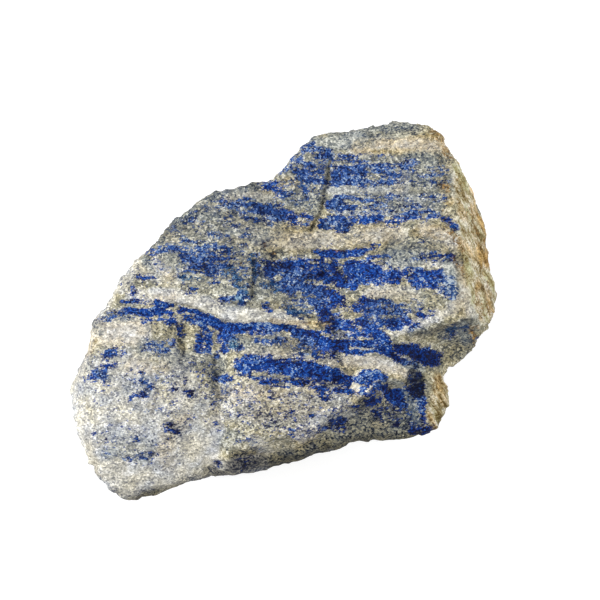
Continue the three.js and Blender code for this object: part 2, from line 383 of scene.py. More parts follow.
across = -math.sin(FIBRE_ANGLE) * u + math.cos(FIBRE_ANGLE) * v
along = math.cos(FIBRE_ANGLE) * u + math.sin(FIBRE_ANGLE) * v
fibre_space = np.column_stack([along / FIBRE_STRETCH, across, w * FIBRE_SQUEEZE])
fibres = wander(fibre_space, 1.4, 2, seed=6)
print("weathered points:", int((rind > 0.5).sum()), "of", len(rind))

# %% [markdown]
# Now every height is added up. The hidden sides carry bigger chips, because they broke off
# in one blow and were never trimmed, and the lowest edge is worn smooth. Near the flat spot
# all heights fade to nothing, so the stone still stands on it.

# %% Carve the skin
FLAT_FADE = 3.0
SHRINK = 0.3
SWELL_HEIGHT, BUMP_HEIGHT, SUGAR_HEIGHT = 0.55, 0.4, 0.24
SMALL_CHIP, MIDDLE_CHIP, BIG_CHIP, BIG_CHIP_BEHIND = 0.36, 0.5, 0.35, 1.15
LEDGE_HEIGHT, FIBRE_HEIGHT = 0.65, 0.5
WORN = [(3.5, 0.75, (-56, -58, -46, -58.6, -24, -52.6, 0, -47.6, 12, -44, 25, -41.6, 38, -40))]

unworn = 1 - drawn(WORN, u, v)
chip_small = chips(smooth_points, 2.3, seed=1)
chip_middle = chips(smooth_points, 4.6, seed=3)
chip_big = chips(smooth_points, 8.5, seed=2)
heights = (
    SWELL_HEIGHT * wander(smooth_points, 11, 2, seed=7)
    + SMALL_CHIP * chip_small * (1 - 0.5 * rind) * unworn
    + MIDDLE_CHIP * chip_middle * unworn
    + BUMP_HEIGHT * wander(smooth_points, 5, 2, seed=17)
    + SUGAR_HEIGHT * wander(smooth_points, 1.7, 2, seed=8) * unworn
    + (BIG_CHIP + BIG_CHIP_BEHIND * behind) * chip_big
    + LEDGE_HEIGHT * (ledges - 0.5) * ledge_share * (1 - rind)
    + FIBRE_HEIGHT * fibres * rind
    - SHRINK
    - grooves
    - hollows
    - falls
    + knobs
)
heights *= smooth_step(smooth_points[:, 2] / FLAT_FADE)
carved = smooth_points + heights[:, None] * outward
carved[:, 2] = np.maximum(carved[:, 2], 0)
skin.vertices.foreach_set("co", (carved * MM).astype(np.float32).ravel())
skin.update()
skin.shade_smooth()
print("heights from", heights.min().round(2), "to", heights.max().round(2), "mm")

# %% [markdown]
# ## Where the blue lies
# Lazurite grew in bands, knots and single grains. They are lines of a brush again, and the
# brush's strength is the share of the rock that is blue there: 1 is solid blue, 0.4 a loose
# sprinkle. Such a share could be an image, but lines can be moved one by one. In each cell
# the brushes go from wide to thin, and the lines of a brush from top to bottom. The bands of
# the upper block come first.

# %% Blue in the upper block
BLUE = [
    (4.5, 0.42, (3, 40, 9, 38.5, 20, 38)),
    (3.2, 0.35, (26, 36.4, 36, 37, 43, 37)),
    (3.0, 0.34, (12, 28.6, 22, 28.6, 34, 28, 42, 28.4)),
    (2.4, 0.45, (17, 25.4, 36, 24.8)),
    (2.4, 0.35, (-6, 30, 2, 29)),
    (2.0, 0.95, (10, 24, 13, 22.6)),
    (2.0, 0.85, (9.5, 28.4, 12, 28.2)),
    (1.9, 0.95, (11.5, 29.7)),
    (1.6, 0.95, (10, 37.5, 12.5, 37), (7.2, 23.2)),
    (1.6, 0.7, (29, 24.5, 32, 25.2, 36, 25.7)),
    (1.5, 1.0, (9.8, 28.4, 11.8, 27)),
    (1.5, 0.8, (0.6, 24.8, 2.6, 24.6)),
    (1.5, 0.75, (25.5, 37, 26.5, 35.5)),
    (1.5, 0.7, (25.5, 38, 29, 38.2, 32, 37.6)),
    (1.4, 0.8, (-1.5, 39, 2.5, 37.4, 6.5, 38.4), (15.4, 22.6, 15.6, 26)),
    (1.4, 0.75, (30.5, 41, 34, 41)),
    (1.4, 0.5, (-8, 33.6, -2, 36, 0, 38)),
    (1.3, 1.0, (22.4, 38.6, 24.6, 35.6), (17.6, 38.4, 19.6, 37.8)),
    (1.3, 0.95, (12.5, 37.6, 16, 39, 19, 39.5)),
    (1.3, 0.9, (1.6, 40.8, 4.4, 40.2), (19, 24.3)),
    (1.3, 0.8, (5.5, 43.3, 9.5, 43)),
    (1.3, 0.75, (1.6, 46, 5, 45.4, 9, 44.2)),
    (1.3, 0.7, (43.2, 25, 45.2, 23.4, 46.8, 21.2)),
    (1.2, 1.0, (9.6, 28, 14, 27.4, 19, 27.4)),
    (1.2, 0.95, (14, 36, 19, 35.5)),
    (1.2, 0.9, (12, 39.4, 14.6, 39.4), (26.6, 38, 30, 37.8), (-5, 25, -1, 24.8),
     (11, 21.6, 14, 21.4)),
    (1.2, 0.85, (29.6, 27.2, 31.4, 27.8)),
    (1.2, 0.7, (17, 36.6, 30, 37.2), (-3, 22.6, 1.5, 22.4)),
    (1.2, 0.65, (12.5, 43, 17, 42.2, 20, 40.8, 25, 39.4)),
    (1.2, 0.6, (-1.5, 41.5, 1.5, 43.6), (33.5, 38.4, 36, 38, 40, 38.4), (34.6, 38, 42, 37.4),
     (22, 28.6, 25, 28.2)),
    (1.2, 0.5, (3.5, 33, 6.5, 32.4), (36, 29.4, 40, 28.6)),
    (1.2, 0.45, (27, 22.8, 32, 23)),
    (1.2, 0.35, (-5, 31.5, 0, 33)),
    (1.1, 0.95, (0.5, 36, 5, 35.4, 10, 35.2, 15, 35.4)),
    (1.1, 0.9, (22, 24.8, 24.5, 24.5)),
    (1.1, 0.85, (13, 43, 16, 42)),
    (1.1, 0.7, (-1, 33, 1.5, 34.6, 2.6, 37)),
    (1.0, 0.9, (30.6, 40, 34.4, 40.6), (27.6, 39.4, 30, 39), (19, 37.4, 22, 37.2),
     (1, 34, 1.6, 31.4), (-5, 27.4, -3, 26), (44.4, 24.4, 46.6, 21.6), (6.4, 22.4, 8.6, 22)),
    (1.0, 0.8, (1.4, 45.4, 3.8, 44), (-6.6, 38.2, -2, 40), (20, 35.4, 24, 35.2),
     (33.6, 27.2, 36.6, 28.4)),
    (1.0, 0.7, (0, 40.5, -0.5, 42.5, 2, 44, 4.4, 43), (12.5, 31.2, 16, 31),
     (38.5, 26.8, 40, 25.5, 43, 24.5)),
    (1.0, 0.6, (31, 42, 35, 41.4), (20, 40.6, 29, 40.2), (36, 31.6, 43, 30.8)),
    (1.0, 0.55, (21, 28.4, 26, 28)),
    (1.0, 0.35, (18, 43.4, 28, 43)),
    (0.9, 0.95, (13, 27.4, 19.6, 28.4)),
    (0.9, 0.9, (22.5, 39.6, 26.5, 39.6), (34, 38.4, 36, 36.6, 39.6, 37.4), (38.6, 25)),
    (0.9, 0.85, (15.6, 34.8, 19, 34.6)),
    (0.9, 0.8, (-5.6, 33, -5, 30.6)),
    (0.9, 0.65, (14, 30.8, 21, 30.2)),
    (0.9, 0.6, (1, 45.4, 3.6, 47)),
    (0.9, 0.55, (18, 31.6, 26, 31)),
    (0.9, 0.45, (26.5, 31.5, 30, 31)),
    (0.9, 0.4, (38, 40.6, 43, 40)),
    (0.8, 0.8, (-2.4, 41.4), (21.6, 28, 26, 28.6), (14.6, 25.4, 20, 25.6), (19.6, 23.4, 23.6, 24)),
    (0.8, 0.5, (33, 35.6, 40, 35.2)),
    (0.8, 0.4, (33, 35.5, 43, 34.2)),
    (0.7, 0.7, (26, 30.6, 27.6, 29)),
]
print("blue lines in the upper block:", line_count(BLUE))

# %% [markdown]
# The left shoulder is mixed rock, so its blue is thin and broken up. One wide weak brush
# would give an even sprinkle there, so many short lines are used instead, and each has a
# strength that suits its own streak.

# %% Blue in the upper left
BLUE += [
    (4.2, 0.5, (-33, 11, -26, 10, -19, 9.4)),
    (3.0, 0.3, (-28, 24, -18, 24)),
    (2.4, 0.9, (-9.4, 9.8, -8, 8)),
    (2.2, 0.85, (-35, 12.6, -30, 12.6, -26, 11.8)),
    (2.2, 0.6, (-22, 7.4, -18, 5, -16, 2)),
    (2.0, 0.95, (-12, 27.2, -9, 26.3)),
    (1.8, 0.95, (-9, 26.3, -5, 25.5)),
    (1.7, 0.6, (-45, 15, -36, 16.4, -26, 16, -17, 14.8)),
    (1.6, 0.95, (-22.4, 15.8, -21.4, 10.4)),
    (1.6, 0.75, (-12.6, 12.6, -9, 12)),
    (1.6, 0.45, (-38, 21, -33, 24.4, -28, 27.4, -22, 30.6)),
    (1.6, 0.35, (-44, 11, -41, 9)),
    (1.5, 0.9, (-15, 28.2, -13, 27.5)),
    (1.5, 0.8, (-10.8, 27, -6, 27.4)),
    (1.5, 0.4, (-27, 6, -23, 5)),
    (1.4, 0.9, (-14, 12.6, -12.4, 10.4, -13, 8)),
    (1.4, 0.85, (-34, 11.4, -30, 11)),
    (1.4, 0.75, (-30, 15.4, -26, 14.6, -21.5, 14.4), (-34, 10.4, -30, 9, -26, 8)),
    (1.3, 0.9, (-27, 10.4, -21, 10)),
    (1.2, 0.85, (-28, 9, -24.6, 9)),
    (1.2, 0.75, (-12, 34.2, -9.5, 34, -7, 33.5, -5, 31.8)),
    (1.2, 0.55, (-9, 24.4, -5, 23.6)),
    (1.2, 0.45, (-16, 20.5, -13.5, 22.5)),
    (1.1, 0.9, (-10.4, 25.2, -8.4, 24.8)),
    (1.1, 0.8, (-19, 29, -17, 29, -13, 27.8), (-19.6, 6, -18.6, 4)),
    (1.0, 0.95, (-40, 15.6, -35.4, 15.2)),
    (1.0, 0.9, (-10, 33.6, -7.4, 33.2), (-20, 7.6, -18, 6.4)),
    (1.0, 0.85, (-50.5, 3.5, -50, 2)),
    (1.0, 0.8, (-21.4, 28.6, -18.6, 28.4), (-20.6, 15.6, -20, 13), (-13.5, 10, -13.8, 6)),
    (1.0, 0.7, (-36, 6.5, -30, 6.5)),
    (1.0, 0.65, (-46, 14, -43, 16, -40, 15.5)),
    (1.0, 0.6, (-34, 2.4, -31, 3.2)),
    (1.0, 0.5, (-11, 4.5, -8, 3)),
    (1.0, 0.4, (-22, 28.8, -18, 26.6, -14.4, 24.6)),
    (0.9, 0.9, (-50.4, 3, -49.4, 2.2)),
    (0.9, 0.85, (-35, 4.4, -31.4, 3)),
    (0.9, 0.8, (-10, 35, -7.6, 35.2), (-17.4, 25.4, -15.4, 24.6), (-14.3, 13.5, -13.8, 8)),
    (0.9, 0.7, (-23.5, 28.8, -20, 29), (-45, 13.6, -40, 15, -37, 15)),
    (0.9, 0.6, (-49, 7, -45, 6.6)),
    (0.8, 0.8, (-16.6, 30, -14.8, 29.8), (-14.6, 24.6, -12.6, 24), (-35.4, 18.8, -33.4, 17.6),
     (-43, 16.3, -38, 15.5, -30, 16, -22, 16, -16.5, 16.3)),
    (0.8, 0.7, (-28.4, 28.4, -26, 30), (-49, 6.5, -44, 6.5)),
    (0.8, 0.6, (-11, 24, -8, 22.4), (-29, 20, -24, 19.5, -21.5, 19, -20.5, 17)),
    (0.7, 0.7, (-26.6, 19.4, -23, 18.6), (-17, 19.4, -14.6, 19.2)),
]
print("blue lines so far:", line_count(BLUE))

# %% [markdown]
# The widest band crosses the middle of the face, with a looser field of blue under it. The
# band could be one long thick line, but its edges would run too straight. So lines of
# several widths lie over each other, and the rock shows where they part.

# %% Blue across the middle of the face
BLUE += [
    (3.2, 0.5, (38, 6, 44, 5)),
    (3.0, 0.7, (21, -4, 29, -4.6)),
    (2.9, 1.0, (15.5, 9, 21.5, 8.5)),
    (2.6, 0.9, (-8, 7, -5, 5, -2.6, 4)),
    (2.6, 0.8, (6, 9.5, 11, 6)),
    (2.5, 0.9, (-3, 11, -3, 7.5)),
    (2.2, 0.75, (43.6, 6, 45.4, 2.5)),
    (2.0, 0.95, (-1, 11.5, 4, 12), (6.5, 1.7)),
    (2.0, 0.9, (2, 8.5, 4, 6.5), (25, 8, 29, 7.5), (26.4, -4.6, 28.6, -8)),
    (2.0, 0.8, (6, 0, 8, -3, 7.6, -5.2)),
    (2.0, 0.55, (-2, 1, 3, -2)),
    (1.9, 0.9, (35, 7, 36, 4.5)),
    (1.9, 0.85, (38.5, 7.3, 42.5, 7.3)),
    (1.8, 0.95, (11.5, 0.3, 12.5, 2.5)),
    (1.8, 0.9, (-7, 10.6, -4, 10.2), (29, -3)),
    (1.8, 0.4, (-4, -2, 2, -4)),
    (1.6, 0.95, (16.5, 5.5)),
    (1.6, 0.9, (12.6, 5.6, 16, 4.6)),
    (1.6, 0.8, (8.5, 6, 7.5, 3, 5, 3)),
    (1.6, 0.5, (12, -3.5, 15, -4.5)),
    (1.5, 0.9, (31, -5, 32.5, -6.5)),
    (1.5, 0.85, (9.6, 11.4, 11, 9.6)),
    (1.4, 1.0, (6, 7, 8, 6), (10.6, -7, 13.4, -8.6)),
    (1.4, 0.95, (3.4, 0.2, 6.6, -4.6), (20, -7.6, 24, -6.8, 29, -6.2)),
    (1.4, 0.9, (18.6, 0, 22, -1)),
    (1.4, 0.75, (45.5, 3, 46.5, 1.5)),
    (1.4, 0.45, (34, 13, 40, 12), (33.5, -1, 36, -1.5)),
    (1.4, 0.4, (18, 0.6, 20, -2)),
    (1.3, 1.0, (36, 8.4, 38.6, 7.8)),
    (1.3, 0.95, (-1, 4, 2.5, 3.5), (1.4, 2, 4.8, 3)),
    (1.3, 0.9, (23.5, -0.6), (-3.4, -3, 1, -4.4)),
    (1.3, 0.85, (9, 3, 10, -1.4)),
    (1.3, 0.7, (17.5, -2.8)),
    (1.3, 0.55, (31.5, -1.6, 33, -3)),
    (1.3, 0.45, (50.5, -8)),
    (1.2, 1.0, (5, 13.6, 9, 14, 13, 13.4, 19, 14.2)),
    (1.2, 0.95, (5.4, 14, 5.8, 12), (-1.2, 7, 0.6, 6.2, 6, 7.6), (8.4, -4.6, 12, -6.4)),
    (1.2, 0.9, (14.6, -6, 19.6, -6), (27, -7, 30.5, -7), (33.6, -8.4, 35, -7.6)),
    (1.2, 0.85, (16.6, -2, 19.4, -2.2)),
    (1.2, 0.8, (18, 5.8, 24, 5.8, 29, 5.6), (35.6, -4.4, 38.4, -4.4), (12, -5.6, 15, -8, 18, -10)),
    (1.2, 0.75, (38, 5, 41, 4.4)),
    (1.2, 0.7, (12, -1, 14, -1)),
    (1.2, 0.6, (37, 13.2, 46, 12.6)),
    (1.2, 0.55, (40, 13.5, 42, 12.7, 46.5, 12.5)),
    (1.2, 0.4, (36.5, 18)),
    (1.1, 0.8, (23.6, 11, 27, 10)),
    (1.0, 0.9, (21, 11.5)),
    (1.0, 0.85, (31.4, 8.6, 33, 6, 35, 3.6)),
    (1.0, 0.8, (-0.6, 9.4, -0.2, 6.8), (24, 0, 29, -2)),
    (1.0, 0.7, (39, 13.6, 46.4, 12.8)),
    (1.0, 0.55, (20, 13.2, 24, 13, 27, 12.6)),
    (1.0, 0.5, (21.5, 16, 23, 16), (32.5, 9.2, 37, 9)),
    (0.9, 0.95, (5.5, 13.8, 9, 13.6, 11, 13, 14, 14, 19.5, 14.8)),
    (0.9, 0.9, (11.6, 11, 13, 10)),
    (0.9, 0.8, (43.6, 1.6)),
    (0.9, 0.7, (30, 9.4, 31.8, 6.6)),
    (0.8, 0.95, (16, -7, 19.5, -6.8, 22, -6)),
    (0.8, 0.85, (39.7, -3.7)),
    (0.8, 0.8, (34, -2.4, 36, -3)),
]
print("blue lines so far:", line_count(BLUE))

# %% [markdown]
# Two ribbons of solid blue cross the face like rivers. They are the stone's clearest mark,
# so they are drawn with the most care, and they swell and pinch as they go. A curve of
# changing width could do that too, but overlapping lines can be corrected one at a time.

# %% The two blue ribbons
BLUE += [
    (4.0, 0.25, (-30, -20, -24, -27)),
    (2.7, 1.0, (-2, -20.7, 2, -21)),
    (2.6, 1.0, (2, -21, 5, -21.6)),
    (2.4, 0.95, (3, -20.2, 8, -21.4, 12, -23)),
    (2.3, 1.0, (-4, -20.6, -2, -20.7)),
    (2.2, 1.0, (-15.5, -19, -12, -19)),
    (2.1, 1.0, (1.5, -11, 3, -11.5), (-12, -19, -9.5, -19.2), (5, -21.6, 8, -22.6)),
    (2.0, 1.0, (6, -12.2, 10, -13.5)),
    (1.9, 1.0, (-30.2, -4.6, -28.5, -6)),
    (1.9, 0.4, (-13, -10.5, -4, -12.5)),
    (1.8, 1.0, (-46.5, -3.8, -42.5, -2.8), (-9.5, -19.2, -6, -20.5)),
    (1.8, 0.85, (-21, -12, -18.6, -14)),
    (1.7, 1.0, (-25, -7.6, -22, -9.2)),
    (1.6, 1.0, (-41.6, -3.8, -39, -6), (-21.5, -8.8, -18, -8.4), (-1, -9.8, 0.5, -10.5)),
    (1.6, 0.8, (6, -14.8, 11, -16.4, 14, -18)),
    (1.5, 1.0, (10, -13.5, 13, -14)),
    (1.4, 1.0, (-18, 2, -17.4, -0.6)),
    (1.4, 0.6, (-10, -12, -6, -12.6)),
    (1.4, 0.5, (-2, -14, 4, -15.5)),
    (1.3, 1.0, (-18, -8.4, -14, -8)),
    (1.3, 0.95, (-29, -4.8, -25, -6.2), (-12.4, -22.2, -9.6, -24.4)),
    (1.3, 0.8, (-56, -4, -53, -4), (0, -13.6, 4.6, -14)),
    (1.3, 0.75, (-42, -3.4, -39, -5, -36, -7.6)),
    (1.2, 1.0, (-42.7, -1, -40, -1.8), (-22.5, -10, -23, -14.6), (-18.5, -20, -16, -19)),
    (1.2, 0.95, (-51.5, -3.2, -48, -3.6), (-19, -21.4, -12, -23.4, -4, -24.4, 3, -24.6)),
    (1.2, 0.85, (-27.3, -10.5, -27.3, -13.5)),
    (1.2, 0.8, (-10, -1.8)),
    (1.2, 0.7, (-24, -9.8, -24, -12)),
    (1.2, 0.6, (-54, -5, -50, -4.6), (-15, -9.6, -12.4, -10), (0, -15.4, 0.6, -18)),
    (1.2, 0.5, (-26, -21, -26, -24)),
    (1.1, 0.7, (-10.8, -1.8, -9, -3)),
    (1.0, 1.0, (-36.2, -2.9, -32.5, -3.5)),
    (1.0, 0.95, (11, -11.6, 12.6, -12.4)),
    (1.0, 0.9, (-9.4, -9.8, -5.4, -12.6), (-16, -18, -9, -18.6, 0, -19.6), (-12, -24.2, -4, -25.2)),
    (1.0, 0.8, (-58, -6, -54, -4.6), (4, -16, 8, -17.4), (-1.6, -17, 0, -18.6)),
    (1.0, 0.75, (-25, -16.5)),
    (1.0, 0.7, (-47, -6.2, -44.6, -5.6)),
    (1.0, 0.5, (-57, -4, -51, -2.6), (-60, -5.5, -56, -4.6, -53, -4), (-46, -6, -43, -6.3)),
    (0.9, 1.0, (-5, -8.2, -2, -9)),
    (0.9, 0.95, (-20, -9.6, -16, -9)),
    (0.9, 0.9, (-24, 0.4, -18, 0.6), (-9, -21.6, -2, -22.4)),
    (0.9, 0.85, (-25, -23.8, -21, -23.8)),
    (0.9, 0.8, (-14, -10, -13, -12), (-28.4, -11, -26.4, -12.6), (4, -16.4, 5.4, -18)),
    (0.8, 1.0, (-28, -7.4, -22, -8.4, -14, -7.9, -6, -8, 0, -8.8, 6, -10)),
    (0.8, 0.95, (-12, -8.6, -6, -8.8)),
    (0.8, 0.9, (-16.4, -17, -12, -16.8)),
    (0.8, 0.8, (-53, -0.4, -51, -0.6), (-35.6, -5.8, -30, -7), (-6, -17.8, 0, -17.6),
     (-24.6, -23.4, -22, -22.6)),
    (0.8, 0.7, (-24, 0.2, -20.4, 0), (-28.6, -21, -25, -24.4)),
    (0.7, 1.0, (-52, -0.5, -46, -0.6, -41, -1.2, -38.5, -2)),
    (0.7, 0.95, (-35, -5.5, -32, -6.1, -29.5, -6.8)),
    (0.7, 0.9, (-19.6, -18.4, -14, -17.4, -9, -17.2)),
]
print("blue lines so far:", line_count(BLUE))

# %% [markdown]
# Right of the ribbons the face turns under in small glassy facets, and each has its own
# patch of blue. Many of them are smaller than the net of the skin can show, so short
# strong lines stand for them, and the change of colour makes them read as facets.

# %% Blue in the lobe at the right
BLUE += [
    (3.5, 0.3, (10, -35, 22, -33)),
    (3.2, 0.4, (24, -32, 33, -33)),
    (2.3, 1.0, (24, -11, 26, -14.5)),
    (2.2, 0.45, (21, -27, 24, -31)),
    (2.0, 0.4, (27, -34, 33, -37)),
    (2.0, 0.3, (20, -33, 25, -36)),
    (1.8, 1.0, (30, -15.2, 36, -15.7, 39, -17)),
    (1.8, 0.95, (24.2, -24, 26, -27.2)),
    (1.8, 0.3, (33, -28, 34.4, -34)),
    (1.7, 1.0, (17.5, -23.5, 20.5, -22.5)),
    (1.6, 1.0, (39.6, -16.4, 41.4, -18.2)),
    (1.6, 0.95, (14, -12.7, 17, -13)),
    (1.6, 0.8, (11, -37.4, 13.4, -37)),
    (1.6, 0.6, (20.4, -27, 21.6, -29)),
    (1.5, 1.0, (16, -24, 19, -22.6, 22, -22.2, 25, -23.4)),
    (1.5, 0.65, (33, -38.8, 39, -38.4)),
    (1.5, 0.5, (25, -24.6, 30, -25.6)),
    (1.4, 1.0, (28.4, -29.6, 31, -29), (29.8, -31, 31.8, -32), (20.6, -31.6, 23, -31.4)),
    (1.4, 0.95, (21, -14.4, 26.6, -15.8)),
    (1.4, 0.85, (8, -8.8, 12, -10.6, 16, -11.4)),
    (1.4, 0.8, (20, -10.2, 23, -8.4, 26, -7.6), (37.4, -39, 40.4, -37.8)),
    (1.4, 0.7, (10, -25.4, 15, -25.6, 20, -26.4)),
    (1.4, 0.5, (33, -24.6, 35, -26, 36, -28)),
    (1.3, 1.0, (21.6, -24, 22.6, -25.8), (27.6, -30.4, 30, -31)),
    (1.3, 0.85, (35.6, -26.4, 34.4, -29)),
    (1.3, 0.75, (46, -12.2, 47.2, -10.6, 50.4, -9.6)),
    (1.3, 0.7, (33, -27, 34, -30), (33, -38, 37, -39.6)),
    (1.3, 0.5, (34.6, -20.6, 35.8, -24)),
    (1.2, 1.0, (12, -23.3, 14.7, -23.2)),
    (1.2, 0.95, (17, -13, 22, -13)),
    (1.2, 0.7, (34.4, -25, 35.6, -28)),
    (1.2, 0.5, (23, -33, 30, -34)),
    (1.1, 0.95, (28, -16, 30, -17.5, 33, -18.8, 35.5, -20), (35, -27.6, 36.2, -29.6)),
    (1.1, 0.9, (17, -27.2, 20.6, -27.8), (15, -27.4, 20.4, -27)),
    (1.1, 0.8, (22.6, -26.4, 24.6, -27.6)),
    (1.0, 0.9, (41.4, -16.4, 43, -17.2), (36.8, -26, 37.4, -29)),
    (1.0, 0.85, (34, -17.6, 38, -18.8, 40.6, -19)),
    (1.0, 0.7, (45, -10.4, 49, -8)),
    (1.0, 0.5, (46, -10.5, 44.5, -12.4)),
    (0.9, 1.0, (14, -13.8, 20, -14)),
    (0.9, 0.95, (10.5, -27, 14.5, -27.3), (23.4, -34.6, 24.8, -36)),
    (0.9, 0.9, (20, -10.8, 22, -10.4)),
    (0.9, 0.75, (18.5, -9, 21, -9)),
    (0.9, 0.6, (16, -32, 19, -33)),
    (0.8, 0.9, (24, -15.6, 29.6, -18)),
    (0.8, 0.8, (33, -20, 36.4, -20.6), (36.8, -30.5, 36.8, -35), (28.6, -37.6, 30.4, -38)),
    (0.7, 1.0, (36.6, -29.6, 37.4, -33, 37.2, -36)),
    (0.7, 0.9, (13.5, -15.6, 22, -15.8), (37.2, -29, 37.6, -34)),
]
print("blue lines so far:", line_count(BLUE))

# %% [markdown]
# The lower left swells out as nearly white calcite. Here the blue sits in single grains and
# small knots, and a few darker ones follow the creases. Dots scattered at random would look
# sown, because real grains keep to the bands, so the knots are placed one by one.

# %% Grains and knots in the white bulge and along its foot
BLUE += [
    (8.0, 0.16, (-50, -26, -30, -30, -5, -34, 14, -32)),
    (7.0, 0.14, (-55, -40, -40, -46)),
    (4.0, 0.25, (-4, -30, 6, -33), (-6, -34, 3, -40)),
    (1.8, 0.85, (4, -25, 7, -26.4, 8, -28.6)),
    (1.8, 0.75, (-62.6, -22.4, -59.6, -22.6)),
    (1.5, 0.6, (-47, -14.5, -41, -14.5, -38.5, -13), (-47.5, -22.5, -47, -25, -47.4, -28.3)),
    (1.5, 0.5, (-57.5, -42.5)),
    (1.5, 0.25, (-20, -49, -15.5, -46.7)),
    (1.4, 0.9, (-30.2, -11, -30, -14.5)),
    (1.4, 0.8, (-33, -28.3)),
    (1.4, 0.5, (-40, -38, -37, -39.4)),
    (1.4, 0.4, (-17, -50.6, -14, -50)),
    (1.3, 0.9, (-57.5, -16.3)),
    (1.3, 0.85, (-62, -21.5)),
    (1.3, 0.8, (-46, -14, -43, -13), (-59, -20, -58.4, -24.4)),
    (1.3, 0.7, (-58, -17, -55.4, -15.4)),
    (1.2, 0.65, (-2.5, -33)),
    (1.2, 0.6, (-15, -33), (6, -39.4, 13, -39)),
    (1.2, 0.5, (-64, -24), (-50, -28, -46, -28.4)),
    (1.1, 0.9, (-39, -37.2, -38, -38.6), (-44.4, -46.4)),
    (1.1, 0.85, (-51, -29.5)),
    (1.1, 0.6, (-58, -20.5, -56, -19.5)),
    (1.0, 0.9, (-30, -7.4, -28.6, -9), (-62.6, -23.4, -60, -23.2), (-48.6, -27, -46.4, -28.4),
     (-24.6, -49.2)),
    (1.0, 0.8, (-31, -14), (-29.5, -14.8, -27.5, -15.5), (-44.5, -26), (5, -27.4, 7.6, -30),
     (-9, -29.4), (-49, -41.8)),
    (1.0, 0.75, (-3, -39, -2, -41)),
    (1.0, 0.7, (-26, -31.5)),
    (1.0, 0.65, (3.3, -34.5)),
    (1.0, 0.6, (-62, -40), (6, -40, 13, -40)),
    (1.0, 0.55, (-53, -46.5, -52, -48)),
    (1.0, 0.5, (-53, -16.3), (-16.5, -27.5), (-9.5, -36), (-6.5, -38)),
    (1.0, 0.45, (-45.5, -11.5), (-42, -16.5), (-30, -21.5, -27, -23), (-34, -24),
     (-51.5, -27, -53, -28), (-28.3, -29), (-18, -34.5), (-48.6, -46.6, -45, -48)),
    (1.0, 0.25, (-58.6, -46, -57, -48.4)),
    (0.9, 0.9, (-38, -26.7)),
    (0.9, 0.8, (-37, -38.6, -36.4, -39.8)),
    (0.9, 0.75, (-40.6, -12.6, -39.4, -13.6), (-25, -37, -25, -38.8), (-40, -40, -39.4, -41)),
    (0.9, 0.7, (-38, -12, -37.6, -13.6), (6.6, -39.4, 14, -39.4)),
    (0.9, 0.6, (-0.5, -41.5), (-45, -46.4, -43, -46.6), (-17, -51, -15, -48)),
    (0.9, 0.5, (-18.5, -42.5), (-52.6, -46.4, -51, -48)),
    (0.9, 0.45, (-15.5, -42)),
    (0.8, 0.8, (-34, -27.6, -32, -28), (-39.3, -28.5)),
    (0.7, 0.7, (-36.4, -9.6, -35, -10.2)),
]
print("blue lines in all:", line_count(BLUE))

# %% [markdown]
# Calcite also cuts through the blue again. The blue lines could be cut shorter for it, but
# one gap often crosses many of them. So the gaps are brushes too, and each takes away its
# share of the blue under it.

